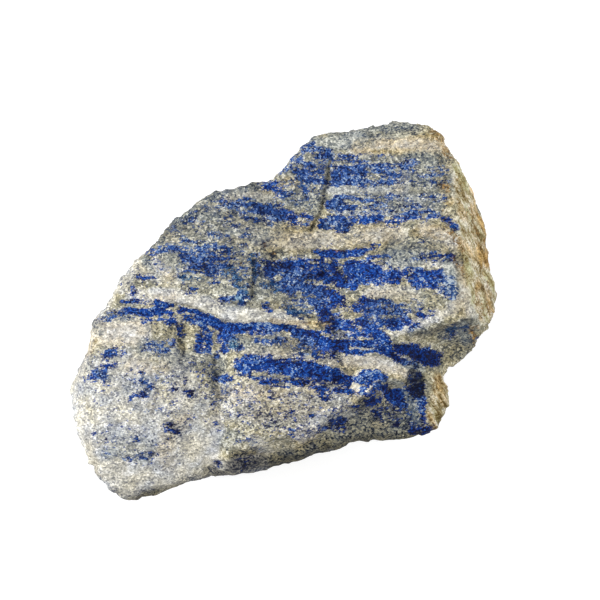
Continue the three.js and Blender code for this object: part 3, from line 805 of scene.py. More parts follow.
# %% Gaps in the blue
GAP_FEATHER = 1.2
GAPS = [
    (1.6, 0.9, (14, -18.8, 22, -18.8, 27, -20.8, 31.4, -23.6)),
    (1.6, 0.8, (31.6, -37.6), (-56.6, -42.4, -54, -43)),
    (1.4, 0.8, (15, -35, 18, -36.4)),
    (1.4, 0.2, (21, -3, 22.6, -7.6)),
    (1.3, 0.85, (-6.8, 6.6)),
    (1.2, 0.85, (13.8, -4.6, 15.6, -5)),
    (1.2, 0.8, (-37, 11), (-34.6, 4), (27.4, -24.8, 29.4, -26), (20.4, -36, 21.6, -37)),
    (1.2, 0.75, (40, 28.4, 42.6, 27.6)),
    (1.2, 0.7, (-44, 16.6, -42, 17), (-19, 15, -16, 14.6), (48, -8, 50, -7.4)),
    (1.2, 0.6, (35.4, 37, 38, 36.6), (-30, 25, -26, 25), (43, -8.8, 45, -8.6)),
    (1.2, 0.55, (33.2, -29.4, 34.6, -32.6, 35.6, -35)),
    (1.2, 0.3, (-21, 12.6, -17, 11)),
    (1.1, 0.9, (2.4, 43)),
    (1.1, 0.85, (-14.6, 21.8)),
    (1.0, 0.85, (-51.4, -26.6), (-47.6, -32.6)),
    (1.0, 0.8, (-12, 34), (-11, 13.4, -5, 12.4), (7, -18.4, 11, -19.4, 15.4, -21.4),
     (20.6, -21, 23.6, -21.2), (-26.6, -21.2), (-63.6, -21.6), (16.4, -22.2, 18, -21.8),
     (16.4, -25.4, 17.2, -26.6), (-24.4, -38.6)),
    (1.0, 0.7, (34, 30.6, 37, 29.2), (42, 30.4), (32, 22.4, 36, 23), (-36, 22.2), (0, 13, 5, 13),
     (12.4, 2.4, 14, 2.8), (33, -1.6, 35, -2.6)),
    (1.0, 0.6, (28, 28, 29.6, 27.6), (17, 27.4, 20, 27.8), (0.6, 24, 4, 23.4), (-36, 16.6, -33, 16),
     (24, 10.8, 26, 9.6), (-42, -41.6, -40, -40.6)),
    (1.0, 0.5, (-33, 7, -27, 6), (24.6, -5.2, 26.6, -5), (10, -10.4, 15, -10.8)),
    (1.0, 0.4, (29, 38.6, 38, 38.4), (-2, 1.6, -0.6, 1.6)),
    (1.0, 0.2, (-12.6, 8, -9, 6)),
    (0.9, 0.9, (-14, -22)),
    (0.9, 0.8, (-5.6, 34.6), (16, 22.4), (-23, 5), (1.6, -0.4, 3, -2), (15, -1),
     (-35, -1.8, -29, -3.2)),
    (0.9, 0.7, (-40.6, -5.2), (-22.4, -13.6), (-13, -22.4, -6, -23)),
    (0.9, 0.6, (-40, 17.2, -37.6, 17.2), (-10, 13, 0, 13), (-35.6, 10.6, -34, 10.4), (-29, 8),
     (-49, -1.4, -45, -1.2), (10.4, -9.6, 14, -10.2), (7.8, -28.2, 9.4, -28.4)),
    (0.9, 0.4, (-31.6, 27, -28, 28), (-11.4, 10.4, -11, 7), (9, -4.6, 12, -5.6)),
    (0.9, 0.35, (-24, 14.4, -22, 13.4)),
    (0.9, 0.3, (2, 5.6, 9, 4.2)),
    (0.8, 0.8, (-14.6, 2.8), (11.6, -20.4, 13, -21), (26.4, -25.8, 31, -26.2)),
    (0.8, 0.7, (21, 37.8, 23.4, 37), (-1, 33), (11.4, 9.6), (26.6, -10, 33.4, -11.4),
     (11.8, -16.8, 15, -17), (-6, -24.8, -3, -24.8)),
    (0.8, 0.6, (18.4, 42.6, 21, 41.8), (-0.4, -0.8, 0.6, -1.4), (-48, -3.4, -45, -3.2),
     (1, -4.4, 2.4, -4.4), (23.6, -8.4, 25, -8), (-9, -10.6, -6, -10.8), (-48.6, -25, -48, -27)),
    (0.8, 0.5, (-15.4, 27.4, -13.8, 26.6), (-14, 13.2, -12.6, 12.4), (2, 11.6, 5, 11.2)),
    (0.8, 0.4, (-24, 16.9, -16.6, 15.9), (-44.4, 6.4, -43, 6.4), (6, -16.4, 8, -16.7),
     (-19.6, -21.8, -16.6, -22.4), (3, -25.2, 7, -25), (-40, -39.8, -37, -37.6)),
    (0.8, 0.35, (9.6, -25.4, 12, -25.6)),
    (0.8, 0.3, (-33, 14, -27, 14.4)),
    (0.7, 0.8, (38.2, -4.2)),
    (0.7, 0.7, (-59.4, -20)),
    (0.7, 0.6, (8.4, 38.6, 8.5, 36.6)),
    (0.6, 0.5, (1, 21.6, 4, 21.4)),
    (0.6, 0.4, (5, 26, 14, 26, 20, 26)),
    (0.5, 0.8, (29, -16.5, 31, -17, 34, -18)),
    (0.5, 0.7, (23.6, -23.6, 21.6, -25.4, 20.2, -27.6)),
    (0.5, 0.4, (9, 12, 15, 12.1)),
    (0.35, 0.8, (14.6, -14.5, 22.3, -14.8)),
]
print("gaps in the blue:", line_count(GAPS))

# %% [markdown]
# A few patches end at a sharp line: flat crystal faces, and the small facets of the lobe.
# Their brushes have almost no feather. The flecks are the opposite, wide soft places where
# single larger grains of lazurite are sprinkled through pale rock.

# %% Sharp patches and loose flecks
CRISP_FEATHER = 0.5
CRISP = [
    (1.7, 1.0, (-4, -20.6, 2, -21, 6, -21.8, 10, -23)),
    (1.4, 1.0, (-14, -19, -10, -19.2, -5, -20.4)),
    (1.2, 1.0, (14.6, 9.4, 20, 8.8), (-24.4, -8.4, -21.4, -8.6), (-0.4, -9.8, 3, -10.6, 6, -11.8),
     (17.6, -23.6, 20.4, -22.6, 23.4, -22.8), (27.6, -29.4, 30.4, -29.2)),
    (1.2, 0.95, (-9.6, 26.6, -5, 25.7)),
    (1.1, 1.0, (-21, -8.6, -17, -8.1, -13, -7.9), (28.4, -30.6, 31, -29.4, 31, -31.4)),
    (1.0, 1.0, (-47, -3.6, -42.6, -2.8)),
    (1.0, 0.9, (31, -15.4, 36, -15.8, 40, -17.6)),
    (0.9, 1.0, (5.6, 13.8, 10, 13.5, 18, 14.4), (27.2, -15.6, 29, -17.4)),
    (0.9, 0.95, (15, -12.8, 20, -12.9)),
    (0.8, 1.0, (-35.6, -3, -31, -4, -27.6, -5.8, -25, -7.4),
     (-13, -7.9, -8, -7.8, -4, -8.4, -1, -9.2)),
    (0.6, 1.0, (37.2, -29.4, 37.4, -34.6)),
    (0.6, 0.95, (13.8, -15.7, 22, -15.8)),
]
CRISP_DARK = [
    (1.4, 1.1, (34.6, -24.4, 35.2, -27)),
    (1.2, 1.1, (34.4, -22.8, 33.2, -25.2, 34.6, -27.6, 36.2, -28.6, 36.2, -24.4, 34.8, -22.8)),
]
CRISP_HAZE = [
    (1.1, 1.0, (32.4, -28.2, 33.6, -30.4, 34.4, -33, 34.2, -35.4)),
    (0.8, 0.9, (35.4, -32, 35.4, -36)),
]
FLECKS = [
    (6.0, 0.34, (-20, -30, 0, -33)),
    (6.0, 0.28, (-56, -42, -44, -46)),
    (6.0, 0.27, (-48, -23, -38, -26)),
    (6.0, 0.22, (-50, 4, -38, 4)),
    (5.0, 0.3, (-32, -22, -28, -28)),
    (5.0, 0.28, (-36, -36)),
    (5.0, 0.25, (-59, -30)),
    (5.0, 0.24, (-18, -40, -12, -44)),
    (5.0, 0.22, (-30, 24, -16, 22)),
    (4.0, 0.34, (-8, -38, 4, -38)),
    (4.0, 0.3, (-60, -18, -54, -16), (10, -28, 16, -31)),
    (4.0, 0.2, (8, 18, 24, 20)),
]
print("sharp patches:", line_count(CRISP + CRISP_DARK + CRISP_HAZE))
print("flecks:", line_count(FLECKS))

# %% [markdown]
# ## The other minerals
# The white between the bands is calcite, and the dark grains in it are pyroxene and mica.
# The dark lines also hold painted shade: along the undercut bottom rim, on the facet under
# the lower right ridge, under the lobe and in some cracks they darken where shade falls.
# Most are drawn with wider and softer brushes than the blue, because they shade into each
# other.

# %% Pale rock, and dark rock with painted shade
PALE = [
    (12.0, 0.75, (-54, -26, -50, -38, -38, -42)),
    (7.0, 0.45, (-20, -30, -6, -31, 8, -30)),
    (5.0, 0.8, (-60, -48, -50, -54, -36, -50)),
    (5.0, 0.6, (-38, -20, -32, -30, -31, -42)),
    (4.0, 0.9, (-58, -9.5, -48, -9.5)),
    (3.4, 1.0, (-48, -20, -46, -28), (-53, -40, -48, -40)),
    (3.0, 0.9, (-57, 6, -64, -8, -68, -22, -67, -34, -63, -44), (1, -40, 7, -36)),
    (3.0, 0.6, (-12, -50, -30, -52, -45, -54)),
    (3.0, 0.5, (-46, 9, -38, 7)),
    (2.4, 1.0, (-47, -19, -45, -24)),
    (2.4, 0.6, (-13, 18.5, 0, 17.6, 12, 18.6, 20, 19.6, 30, 20), (50, 2, 52, -3)),
    (2.2, 1.0, (30, 33, 31, 37)),
    (2.2, 0.9, (-50, 1, -40, 1.6, -30, -0.4, -22, -3.6, -14, -4.8, -6, -5.2, 0, -7),
     (-22, -5.6, -10, -6.2)),
    (2.0, 1.0, (-21, -4, -17, -6), (-36, -28), (-25, -36, -26, -46)),
    (2.0, 0.9, (-38, -27, -36, -31), (-30, -48, -25, -49)),
    (2.0, 0.8, (16, 49, 18, 46), (-15, -27, -14, -30), (-20, -28, -14, -30)),
    (2.0, 0.7, (37, 21.5, 42, 20, 46, 17), (-54, 4, -49, 11), (-14, -42, -10, -46)),
    (2.0, 0.65, (46, -3, 48, 3, 47.5, 10)),
    (1.9, 0.85, (13, 47.6, 28, 47.4, 42, 46)),
    (1.8, 0.9, (14, -18, 22, -18.6, 30, -20.8, 34, -22.8)),
    (1.8, 0.8, (31, 30.4, 36, 30), (-43, 11.4, -40, 9)),
    (1.8, 0.75, (28, -9.5, 34, -7.5, 41, -4.6)),
    (1.7, 0.8, (20, 2.2, 28, 2.6, 34, 2.4)),
    (1.6, 0.8, (5, -34.6, 15, -34.4)),
    (1.6, 0.7, (16, 45, 20, 43.6), (-22, 32, -16, 31.6, -10, 30.6), (38, 20.4, 41, 19)),
    (1.5, 0.6, (-16, -15.6, -8, -16, 0, -17.2, 10, -18.6)),
    (1.4, 0.9, (-44, 0.6, -40, 0)),
    (1.4, 0.8, (34, -7.4, 40, -5, 45, -3.6)),
    (1.4, 0.7, (-18, 22, -15, 21)),
    (1.3, 0.9, (16.6, -26, 18.4, -28)),
    (1.3, 0.6, (12, -10.4, 20, -10.8)),
    (1.2, 0.8, (-29, 28.6, -26, 27), (16, -26.5, 18, -28.5)),
    (1.1, 0.8, (9, 33, 20, 33.2, 30, 32.8)),
    (1.0, 0.9, (16, -14.5, 22, -14.3)),
    (1.0, 0.7, (11, 26, 20, 26.2, 28, 26.4)),
    (0.9, 0.8, (27, 11, 38, 11.2, 47, 10.6)),
    (0.8, 0.7, (16, 37)),
    (0.7, 0.9, (29.5, -16, 32, -17.5, 34.5, -18.5)),
    (0.5, 0.8, (23.6, -23.6, 21.6, -25.4, 20.2, -27.6)),
]
# Dark grains, and painted shade on the undercut rim, under the ridge, under the lobe and in cracks.
DARK_AND_SHADE = [
    (4.2, 0.9, (12, -37, 24, -35, 34, -38)),
    (3.4, 0.35, (-14, 22, -8, 14)),
    (3.4, 0.3, (-14, 27, -4, 24)),
    (3.0, 0.6, (42.6, -24, 43.4, -36)),
    (3.0, 0.4, (-11, -35, -4, -35.4)),
    (3.0, 0.35, (-20, -11, -8, -13)),
    (3.0, 0.3, (0, -15, 6, -22)),
    (2.6, 0.9, (20, -31, 26, -36)),
    (2.6, 0.85, (17, -34, 27, -37)),
    (2.6, 0.5, (38, -10, 50, -11.5), (44, -11, 50, -9), (26, -33, 34, -36)),
    (2.6, 0.45, (5, 10, 12, 6)),
    (2.6, 0.4, (28, 16, 36, 17, 44, 15.6)),
    (2.6, 0.35, (-24, 24.5, -16, 23), (-10, -15, -3, -15), (-36, -23, -34, -27)),
    (2.4, 1.0, (-22, -51, -12, -49.6, 0, -47, 6, -45.4, 14, -42.6, 22, -41)),
    (2.4, 0.75, (29.6, -15.6, 36, -16.6, 42, -18.4)),
    (2.4, 0.5, (4, 6, 12, 3.6), (36, -22, 39, -21), (22, -29, 24, -31.6)),
    (2.4, 0.4, (-2, 18, 3, 16), (-20, 8, -10, 4)),
    (2.4, 0.35, (-24, 14, -10, 15)),
    (2.4, 0.3, (-6, -13, 0, -14), (-38, -20, -28, -20)),
    (2.4, 0.25, (4, -29, 9, -29)),
    (2.2, 0.6, (46, -16, 52, -12)),
    (2.2, 0.5, (35, -5, 40, 0)),
    (2.0, 0.8, (36, -40.6, 40, -39)),
    (2.0, 0.6, (-28, 0, -23, -2)),
    (2.0, 0.4, (36, 35, 40, 30), (0, 27, 4, 30), (-38, 14, -30, 10), (24, 14, 32, 13.6),
     (12, 0.6, 18, 0), (44, 0, 47, -3), (-8, -17, -2, -18.4), (40, -26, 42, -34)),
    (2.0, 0.2, (-24, 20, -10, 21)),
    (1.8, 1.2, (-26, -51.8, -14, -50.8, -4, -48.6, 2, -46.8)),
    (1.8, 1.0, (33, -39.4, 39, -38.6)),
    (1.8, 0.9, (-10.6, 12, -10.4, 8), (24, -40, 38, -40.6)),
    (1.8, 0.8, (7, -4, 12, -10)),
    (1.8, 0.6, (-36, -14, -34, -24)),
    (1.8, 0.5, (-4, 20, -9, 17.6), (29, 5.4, 31, 3), (-62.6, -6, -59.6, -9), (-44, -8, -46, -9),
     (-66, -18, -66, -28), (-40, -41, -34, -42)),
    (1.7, 1.1, (-20, -47.6, -13.6, -46.2)),
    (1.6, 0.8, (34.8, -24.4, 35.6, -27.4), (-60, -54, -52, -59, -44, -58)),
    (1.6, 0.7, (-38, -8.5, -35, -9.6), (10, -12, 13, -14.6)),
    (1.6, 0.6, (20, 2.4, 21, 0), (-2, -5.4, 6, -6), (12, -16.6, 6, -16.8), (-5.4, -24.4)),
    (1.6, 0.5, (22, 49, 27, 49), (15, 44.6), (4, 28.6, 4.6, 31.6), (-20, 6, -10, 4),
     (10, -17.4, 14, -18)),
    (1.6, 0.45, (24, 50, 34, 50.6), (23, 32, 27.6, 33.4)),
    (1.6, 0.4, (36, 46, 40, 45), (14, -2, 20, -3.6)),
    (1.5, 0.35, (28, 29, 36, 30)),
    (1.4, 0.7, (-33, 25.6, -29, 27), (48.4, 12.6, 50, 8)),
    (1.4, 0.6, (42, 34.6, 44.6, 33.6), (-44, 16.6, -38.6, 22, -31, 28.4), (37, 12.6, 46, 12.6),
     (-27, -8.6, -25, -9.6), (38.6, -28, 39.4, -34), (-36, -55, -26, -52.8)),
    (1.4, 0.5, (-52, 5, -49, 8.6, -46, 12.6), (-40, -10, -36, -12), (14, -24, 2, -25),
     (27, -28, 31, -31.4)),
    (1.4, 0.45, (29, 22, 32, 22.4)),
    (1.4, 0.4, (-3, 31, 3, 31.6), (-65, -16, -63, -19), (5, -31, 11, -31)),
    (1.4, 0.35, (33.2, -29.4, 34.6, -32.6, 35.6, -35)),
    (1.3, 1.1, (-10.8, 16.6, -8, 13.4)),
    (1.2, 1.0, (36.4, -23.6, 36.8, -28)),
    (1.2, 0.9, (-39, -37.4, -37, -39.4)),
    (1.2, 0.6, (-27, 31, -20, 32.6, -13, 33.8), (-12, 12, -12, 5), (-9, 10, -3, 10),
     (27.6, -28.8, 30.4, -28.8)),
    (1.2, 0.5, (43, 24, 46, 21)),
    (1.2, 0.4, (36, -11, 46, -9)),
    (1.2, 0.35, (5, -16.8, 10, -18.8, 15.4, -21.2)),
    (1.2, 0.3, (-26, -17, -25, -20, -25.8, -24, -24.6, -28, -25.4, -33)),
    (1.1, 0.9, (-34, -27.6, -32, -28.6)),
    (1.0, 0.6, (-38, 21, -34, 24)),
    (1.0, 0.5, (8, -18.4, 14, -19)),
    (1.0, 0.45, (34, 34.6, 44, 33.6)),
    (0.9, 0.9, (35.4, -21.4, 36, -24), (-24.6, -49)),
    (0.9, 0.8, (-44.4, -46.5)),
    (0.9, 0.6, (-48.6, -28, -46.8, -28.4)),
    (0.9, 0.5, (30, 43.6, 40, 43.2, 46, 42)),
    (0.8, 0.8, (9, 11, 11.5, 8.5), (-44.6, -26.2), (-38, -26.6)),
    (0.8, 0.7, (-21.4, 19.6, -20.2, 17), (-30, -9.6, -29.6, -14)),
    (0.8, 0.65, (-15, 25.5, -12.5, 22.5)),
    (0.7, 0.5, (-14, 13, -13.8, 7, -14.5, 1)),
    (0.6, 0.8, (8.4, 38, 8.1, 34.5, 6.9, 30, 6.4, 27, 4.6, 23.6, 3, 21), (-14.5, 8, -14, 2)),
    (0.5, 1.0, (52, 24, 54.6, 16), (50, 12, 53, 4), (54, 8, 56.6, -2)),
    (0.5, 0.9, (47, 36, 50, 30)),
]
print("lines of pale and dark rock:", line_count(PALE + DARK_AND_SHADE))

# %% [markdown]
# Haze is grey-blue rock, where fine lazurite dust tints the calcite. A greenish blue sits in
# a few spots where lazurite has altered. Both are kept apart from the share of blue,
# because they change its colour and not how much of it there is.

# %% Haze and altered blue
# A few haze lines under the lower right ridge also darken that facet as painted shade.
HAZE = [
    (8.0, 0.7, (-36, 16, -26, 22, -12, 24)),
    (6.0, 0.6, (0, 38, 14, 38, 30, 37.6, 42, 36)),
    (6.0, 0.55, (-30, 8, -18, 6, -8, 6, 2, 2)),
    (4.6, 0.4, (10, -38.6, 27, -36.4)),
    (4.0, 0.6, (12, 29, 40, 29)),
    (4.0, 0.5, (4, 46, 0, 40, 2, 34), (22, -4, 34, 0)),
    (3.4, 0.4, (-54, -42, -46, -44)),
    (3.2, 0.45, (18, -36, 30, -35)),
    (3.0, 0.8, (27, 13, 34, 12)),
    (3.0, 0.7, (33, 42, 42, 42), (36, 36, 42, 35), (-3, 31, 4, 30), (25, 29, 40, 30)),
    (3.0, 0.6, (44, 4, 46, 7), (-8, -12, 2, -14)),
    (3.0, 0.5, (28, 15.5, 40, 16), (44, -11, 52, -8), (-34, -18, -26, -18, -24, -28)),
    (3.0, 0.45, (-4, 1, 2, -2), (-22, -42, -4, -44)),
    (3.0, 0.35, (-50, -27, -46, -24)),
    (3.0, 0.3, (-34, 6, -22, 4)),
    (2.6, 0.8, (4, 47, 8, 46.4, 12, 47.6, 20, 48.6)),
    (2.6, 0.6, (-47, -14, -42, -14)),
    (2.6, 0.5, (-36, 25, -26, 25, -18, 22), (-24, 16, -12, 12), (-46, -17, -38, -17)),
    (2.4, 0.8, (-26, 30, -38, 22), (49, -8.6, 50, -12)),
    (2.4, 0.6, (4, 27, 5, 31), (-20, -12, -12, -14)),
    (2.2, 1.1, (44.8, 8, 46, 3)),
    (2.2, 0.9, (34, -31, 34.6, -36)),
    (2.0, 0.9, (32.6, -19.4, 36.4, -20.6)),
    (2.0, 0.8, (44, 11, 46, 4)),
    (2.0, 0.7, (-21, 16, -16, 10), (34, -10, 38, -10.4)),
    (2.0, 0.5, (20, 49.6, 34, 51), (9, 23, 14, 23), (-22, -1, -13, -0.6), (-58, -14.6, -56, -16.6),
     (4, -46)),
    (2.0, 0.45, (-44, -14, -38, -14)),
    (1.8, 0.75, (10, 50, 20, 51.8, 33, 52.6)),
    (1.8, 0.7, (-47, -24, -46, -27)),
    (1.8, 0.6, (34.4, -22, 35.8, -28.4), (-58, -46, -46, -47)),
    (1.8, 0.5, (14, 20, 17, 20)),
    (1.6, 0.8, (-60.6, -22, -58, -23)),
    (1.6, 0.6, (-44, 16, -38, 22, -31, 28), (-58, -5, -52, -5)),
    (1.6, 0.5, (36, -11, 46, -9.4)),
    (1.4, 0.7, (-27, 31, -20, 32.4, -13, 33.6), (25, -24.6, 30, -25.6)),
    (1.4, 0.6, (-62, -7, -60, -10)),
    (1.2, 0.8, (-46.5, 12, -45, 10)),
]
TEAL = [
    (1.6, 1.0, (-20, -13)),
    (1.6, 0.6, (-11.6, 5.6, -8, 3.6)),
    (1.6, 0.5, (-22, 8, -18, 7), (-4, -3, 1, -4)),
    (1.4, 0.6, (44, -11.4, 51, -8)),
    (1.4, 0.4, (0, 29, 4, 27)),
    (1.3, 0.7, (-20, 9, -18.6, 5, -16, 2.5), (-18.3, 0.5)),
    (1.2, 0.6, (-13.8, 6)),
    (0.9, 0.8, (-36, 6.5, -30, 6.5)),
    (0.9, 0.6, (-14.3, 13.5, -13.8, 8)),
    (0.8, 0.7, (-28, 5.5)),
]
print("lines of haze and teal:", line_count(HAZE + TEAL))

# %% [markdown]
# Iron has stained some of the rock tan or rusty, most of all beside cracks and near the
# weathered skin, and painted shade darkens the undercut edge. Stains could be worked out from the
# hollows of the skin, but iron comes out of the rock itself, so they are placed one by one.

# %% Iron stains and painted shade
TAN = [
    (5.0, 0.35, (-14, -32, 4, -30)),
    (4.0, 0.6, (-58, -10, -50, -10)),
    (4.0, 0.4, (2, -42, -14, -44)),
    (3.4, 0.6, (-14, 18.5, 0, 17, 14, 18.6, 28, 20)),
    (3.0, 0.8, (-6, 20, 6, 21)),
    (3.0, 0.45, (-40, 20, -26, 21)),
    (3.0, 0.4, (40, 18, 47, 14)),
    (2.6, 1.0, (18, 46, 30, 46.4, 41, 47.4)),
    (2.6, 0.6, (-6, -13, 0, -14)),
    (2.6, 0.5, (-62, 0, -66, -14), (-50, -20, -42, -20), (-40, -42, -40, -49)),
    (2.5, 0.5, (48, 2, 49, -3)),
    (2.4, 1.0, (36, 20.6, 45, 20)),
    (2.4, 0.7, (-62, -8, -64, -15)),
    (2.2, 0.7, (34, 48, 42, 46, 44, 40), (-24, -28, -13, -28)),
    (2.0, 1.0, (38, 48, 42, 44)),
    (2.0, 0.9, (42, 38, 45, 30)),
    (2.0, 0.6, (-14, 22, -8, 21), (22, 1, 34, 0.6), (14, -18.6, 22, -18.6, 27, -20.6, 31.6, -23.4),
     (-15, -27, -3, -28), (-34, -36, -36, -38)),
    (2.0, 0.5, (-42, 11, -39, 8), (14, -27, 18, -30)),
    (2.0, 0.4, (-20, 32, -12, 31)),
    (1.8, 0.7, (-22, 25, -16, 22.4)),
    (1.6, 0.9, (-4, 35.6, 0, 35), (48.6, 18, 49, 5)),
    (1.6, 0.6, (-30, 28, -25, 28), (-22, 13, -16, 11), (-42, 1, -38, 1)),
    (1.6, 0.5, (-9, 18, -8, 13), (36, -11, 46, -9.4)),
    (1.5, 0.7, (-9, 22.6, -6, 22)),
    (1.4, 0.9, (49, 34, 53, 26, 55.6, 16, 57.4, 6, 58, -1)),
    (1.4, 0.6, (29.6, 33, 30.6, 37), (-24, 17.5, -17, 17.5), (5, -16.8, 10, -18.8, 15.4, -21.2),
     (23, -38, 26, -38.4)),
    (1.4, 0.5, (-14, -15, -2, -16)),
    (1.2, 0.8, (-28, 28.4, -25, 27.6), (-8, -6.6, 2, -7.4, 10, -7)),
    (1.2, 0.5, (-32, 21.6, -20, 22)),
    (1.0, 0.5, (-14, 32, -8, 33)),
    (0.9, 0.7, (42.5, -25, 42.5, -33)),
]
RUST = [
    (1.3, 0.75, (40, 51, 43.4, 47, 44.6, 43.6)),
    (1.2, 0.85, (52.4, -11.6, 53.2, -13)),
    (1.0, 0.9, (43, 34.2, 44.2, 33.4)),
    (1.0, 0.35, (0, -6.8, 8, -6.9)),
    (0.9, 0.85, (47.6, 18, 48.6, 15.6)),
    (0.9, 0.8, (55.6, 18, 57, 10)),
    (0.9, 0.75, (53, 2, 55, -5)),
    (0.9, 0.7, (56.6, 0, 57.4, -4)),
    (0.9, 0.5, (9.6, 15.4, 12, 15)),
    (0.9, 0.4, (-10.6, 16.6, -8.6, 14.6, -7.6, 12.6)),
    (0.8, 0.8, (42.4, 34.4, 44.6, 33.8), (49, 10, 49.4, 8)),
    (0.8, 0.7, (42.6, 26.6, 44, 26), (51, 26, 53.5, 20), (46.6, 13, 47.6, 10)),
    (0.8, 0.6, (47.4, 38, 49, 33)),
    (0.8, 0.5, (-40, 19.5), (17, -27.6)),
    (0.8, 0.45, (-45, -1.8)),
    (0.7, 0.9, (45, 20, 47.4, 17.4, 49.4, 15.4)),
    (0.7, 0.8, (52, -9.4, 54, -8.6)),
    (0.7, 0.7, (51, 28, 52.6, 24.6), (54.6, 12, 57, 3)),
    (0.6, 0.9, (46.4, 20.4, 48.6, 17.4, 49.4, 14.6)),
    (0.6, 0.5, (10.5, -6.6)),
    (0.4, 0.6, (-18, 10.8), (-16.3, 10.8), (-15.8, 9)),
]
# Painted shade: these lines darken the undercut bottom rim, the lower left rim and the edge of the
# lobe's glassy facet, where shade falls.
SHADE_LINES = [
    (1.6, 0.8, (-6, -49, 0, -48, 6, -46.4), (-21, -50.4, -13, -49.4, -6, -49)),
    (1.3, 0.7, (34.6, -23, 35.2, -27), (-58, -57.4, -51, -60.4, -44, -59)),
    (1.3, 0.6, (6, -46, 14, -43.2, 20, -41.8)),
    (1.2, 0.8, (36.4, -24, 36.6, -28.4)),
    (1.2, 0.5, (-64.4, -40, -62, -48, -60, -54, -57, -57), (20, -41.6, 30, -41.2, 38, -40.4),
     (-44, -58.4, -30, -55, -22, -52.6)),
    (1.0, 0.4, (-19, -47.4, -14, -46.6)),
]
print("lines of stain and painted_shade_marks:", line_count(TAN + RUST + SHADE_LINES))

# %% [markdown]
# Last come places where the rock is drawn lighter than its mineral alone would make it.
# They shift the tone and leave the mineral as it is.

# %% Lighter patches
LIGHT = [
    (3.0, 0.5, (-58, -11, -50, -11), (-44, -20, -43, -28)),
    (2.4, 0.5, (-25, 17.6, -17, 21), (8, -35, 16, -33.4)),
    (2.4, 0.4, (-28, 23.4, -24, 22), (-44, -2, -41, 0)),
    (2.2, 0.5, (50, 38, 53, 30)),
    (2.0, 1.0, (44.6, 8.6, 45.8, 4.4, 46, 1.4)),
    (2.0, 0.6, (-22, -26, -17, -28), (-15, -44, -8, -46)),
    (2.0, 0.5, (9, 20, 11, 25), (51.6, 4, 53.6, -3, 56, -6), (-12, -9.6, -9, -13),
     (-57, -45, -53, -46), (-28, -46, -24, -50)),
    (2.0, 0.25, (42.8, -22, 43.4, -33)),
    (1.8, 0.7, (-20.6, -13.4), (-14, -46, -11, -47.6)),
    (1.8, 0.5, (22, 24.6, 25, 26), (-44, -13, -38, -11)),
    (1.6, 0.7, (-30, -7.6, -27.4, -9.4)),
    (1.6, 0.6, (51, 10, 53, 6), (-20, -6, -16, -6.6), (-12, -7, -10, -10),
     (-16.4, -18.8, -12, -18.6)),
    (1.6, 0.5, (42, 48, 46, 42), (45, 34, 47, 38), (-30, 28.4, -26, 27.6), (-6, 22, -8, 21),
     (-43, -16, -42, -24), (-24, -26, -22, -28)),
    (1.6, 0.4, (17, 35, 21, 41), (29, 0.6, 36, -0.6)),
    (1.6, 0.35, (38.4, -22, 39.4, -35)),
    (1.4, 0.8, (16.4, -26, 18.6, -28.4)),
    (1.4, 0.7, (-13, -8.4, -10, -8.4), (-30, -48.6, -24, -50.4)),
    (1.4, 0.6, (39, 18.6, 41, 18.4), (-42, 9.6, -40, 9), (3, 9.6, 8, 10.4)),
    (1.4, 0.5, (20, 31, 21, 36), (32, -9.4, 35.6, -9)),
    (1.4, 0.4, (47, 16, 48, 13)),
    (1.4, 0.3, (33.6, -31, 35, -35)),
    (1.3, 0.55, (17.6, -23.4, 20.4, -22.2, 23.6, -22.4)),
    (1.2, 0.6, (56, 10, 57.6, 2)),
    (1.2, 0.5, (35, 9, 36, 6), (-32, -4, -30, -2), (-55, -51, -50, -53)),
    (1.0, 1.0, (11.2, -7.4, 12.8, -7.9)),
    (1.0, 0.5, (14, 3, 15, 5)),
    (0.7, 1.0, (46.8, 24.6, 48.4, 19, 49.6, 14.6)),
    (0.7, 0.3, (37, -30, 37.4, -34)),
]
print("lighter patches:", line_count(LIGHT))

# %% [markdown]
# ## Bands inside the stone
# The lines belong to the broad face. The bands that make them are sheets that run on
# through the rock, so the sides, the back and the underside show the same sheets cut at
# other heights. Each sheet here is a level, a half thickness and a share of blue, and slow
# noise makes it swell, thin out and end.

# %% Sheets of blue that the other sides cut through
SHEETS = [
    (47, 1.4, 0.5), (41, 2.2, 0.7), (36.5, 1.4, 0.95), (30, 1.2, 0.6), (24.5, 2.2, 0.9),
    (13.5, 0.8, 0.7), (8, 3.2, 0.95), (0, 1.6, 0.6), (-8, 1.3, 1.0), (-12.5, 1.2, 0.7),
    (-20.5, 2.2, 1.0), (-25, 0.9, 0.7), (-32, 1.6, 0.4), (-39, 1.8, 0.5), (-46, 1.3, 0.6),
    (-55, 2.2, 0.8), (-63, 1.2, 0.5), (-70, 2.0, 0.7),
]
SHEET_FEATHER = 1.2

inner_level = v - BAND_DIP * depth
inner_level += 2.6 * wander(smooth_points, 26, 3, seed=9)
inner_level += 0.5 * wander(smooth_points, 3, 2, seed=10)
sheet_blue = np.zeros(len(u))
for number, (middle, half, share) in enumerate(SHEETS):
    presence = smooth_step(0.62 + 1.5 * wander(smooth_points, 16, 2, seed=20 + number))
    reach = half * (0.5 + presence) + SHEET_FEATHER / 2
    inside = (reach - np.abs(inner_level - middle)) / SHEET_FEATHER
    sheet_blue = np.maximum(sheet_blue, share * presence * smooth_step(inside))
print("share of blue behind:", round((sheet_blue * behind).sum() / behind.sum(), 3))

# %% [markdown]
# ## Painting the minerals on the skin
# Lines and sheets are joined by where a point faces: the drawing holds in front, and sheets
# or slow noise hold behind. Each mineral's share is kept as a named attribute on the skin,
# which the shader can read, and so is the painted shade. The edges of all lines are bent by
# noise first, so nothing looks drawn.

# %% Paint the shares of each mineral on the skin
HALO_FEATHER = 6.0
HALO_SHARE = 0.55
FRONT_BLUE = 1.03
MOST = 1.2


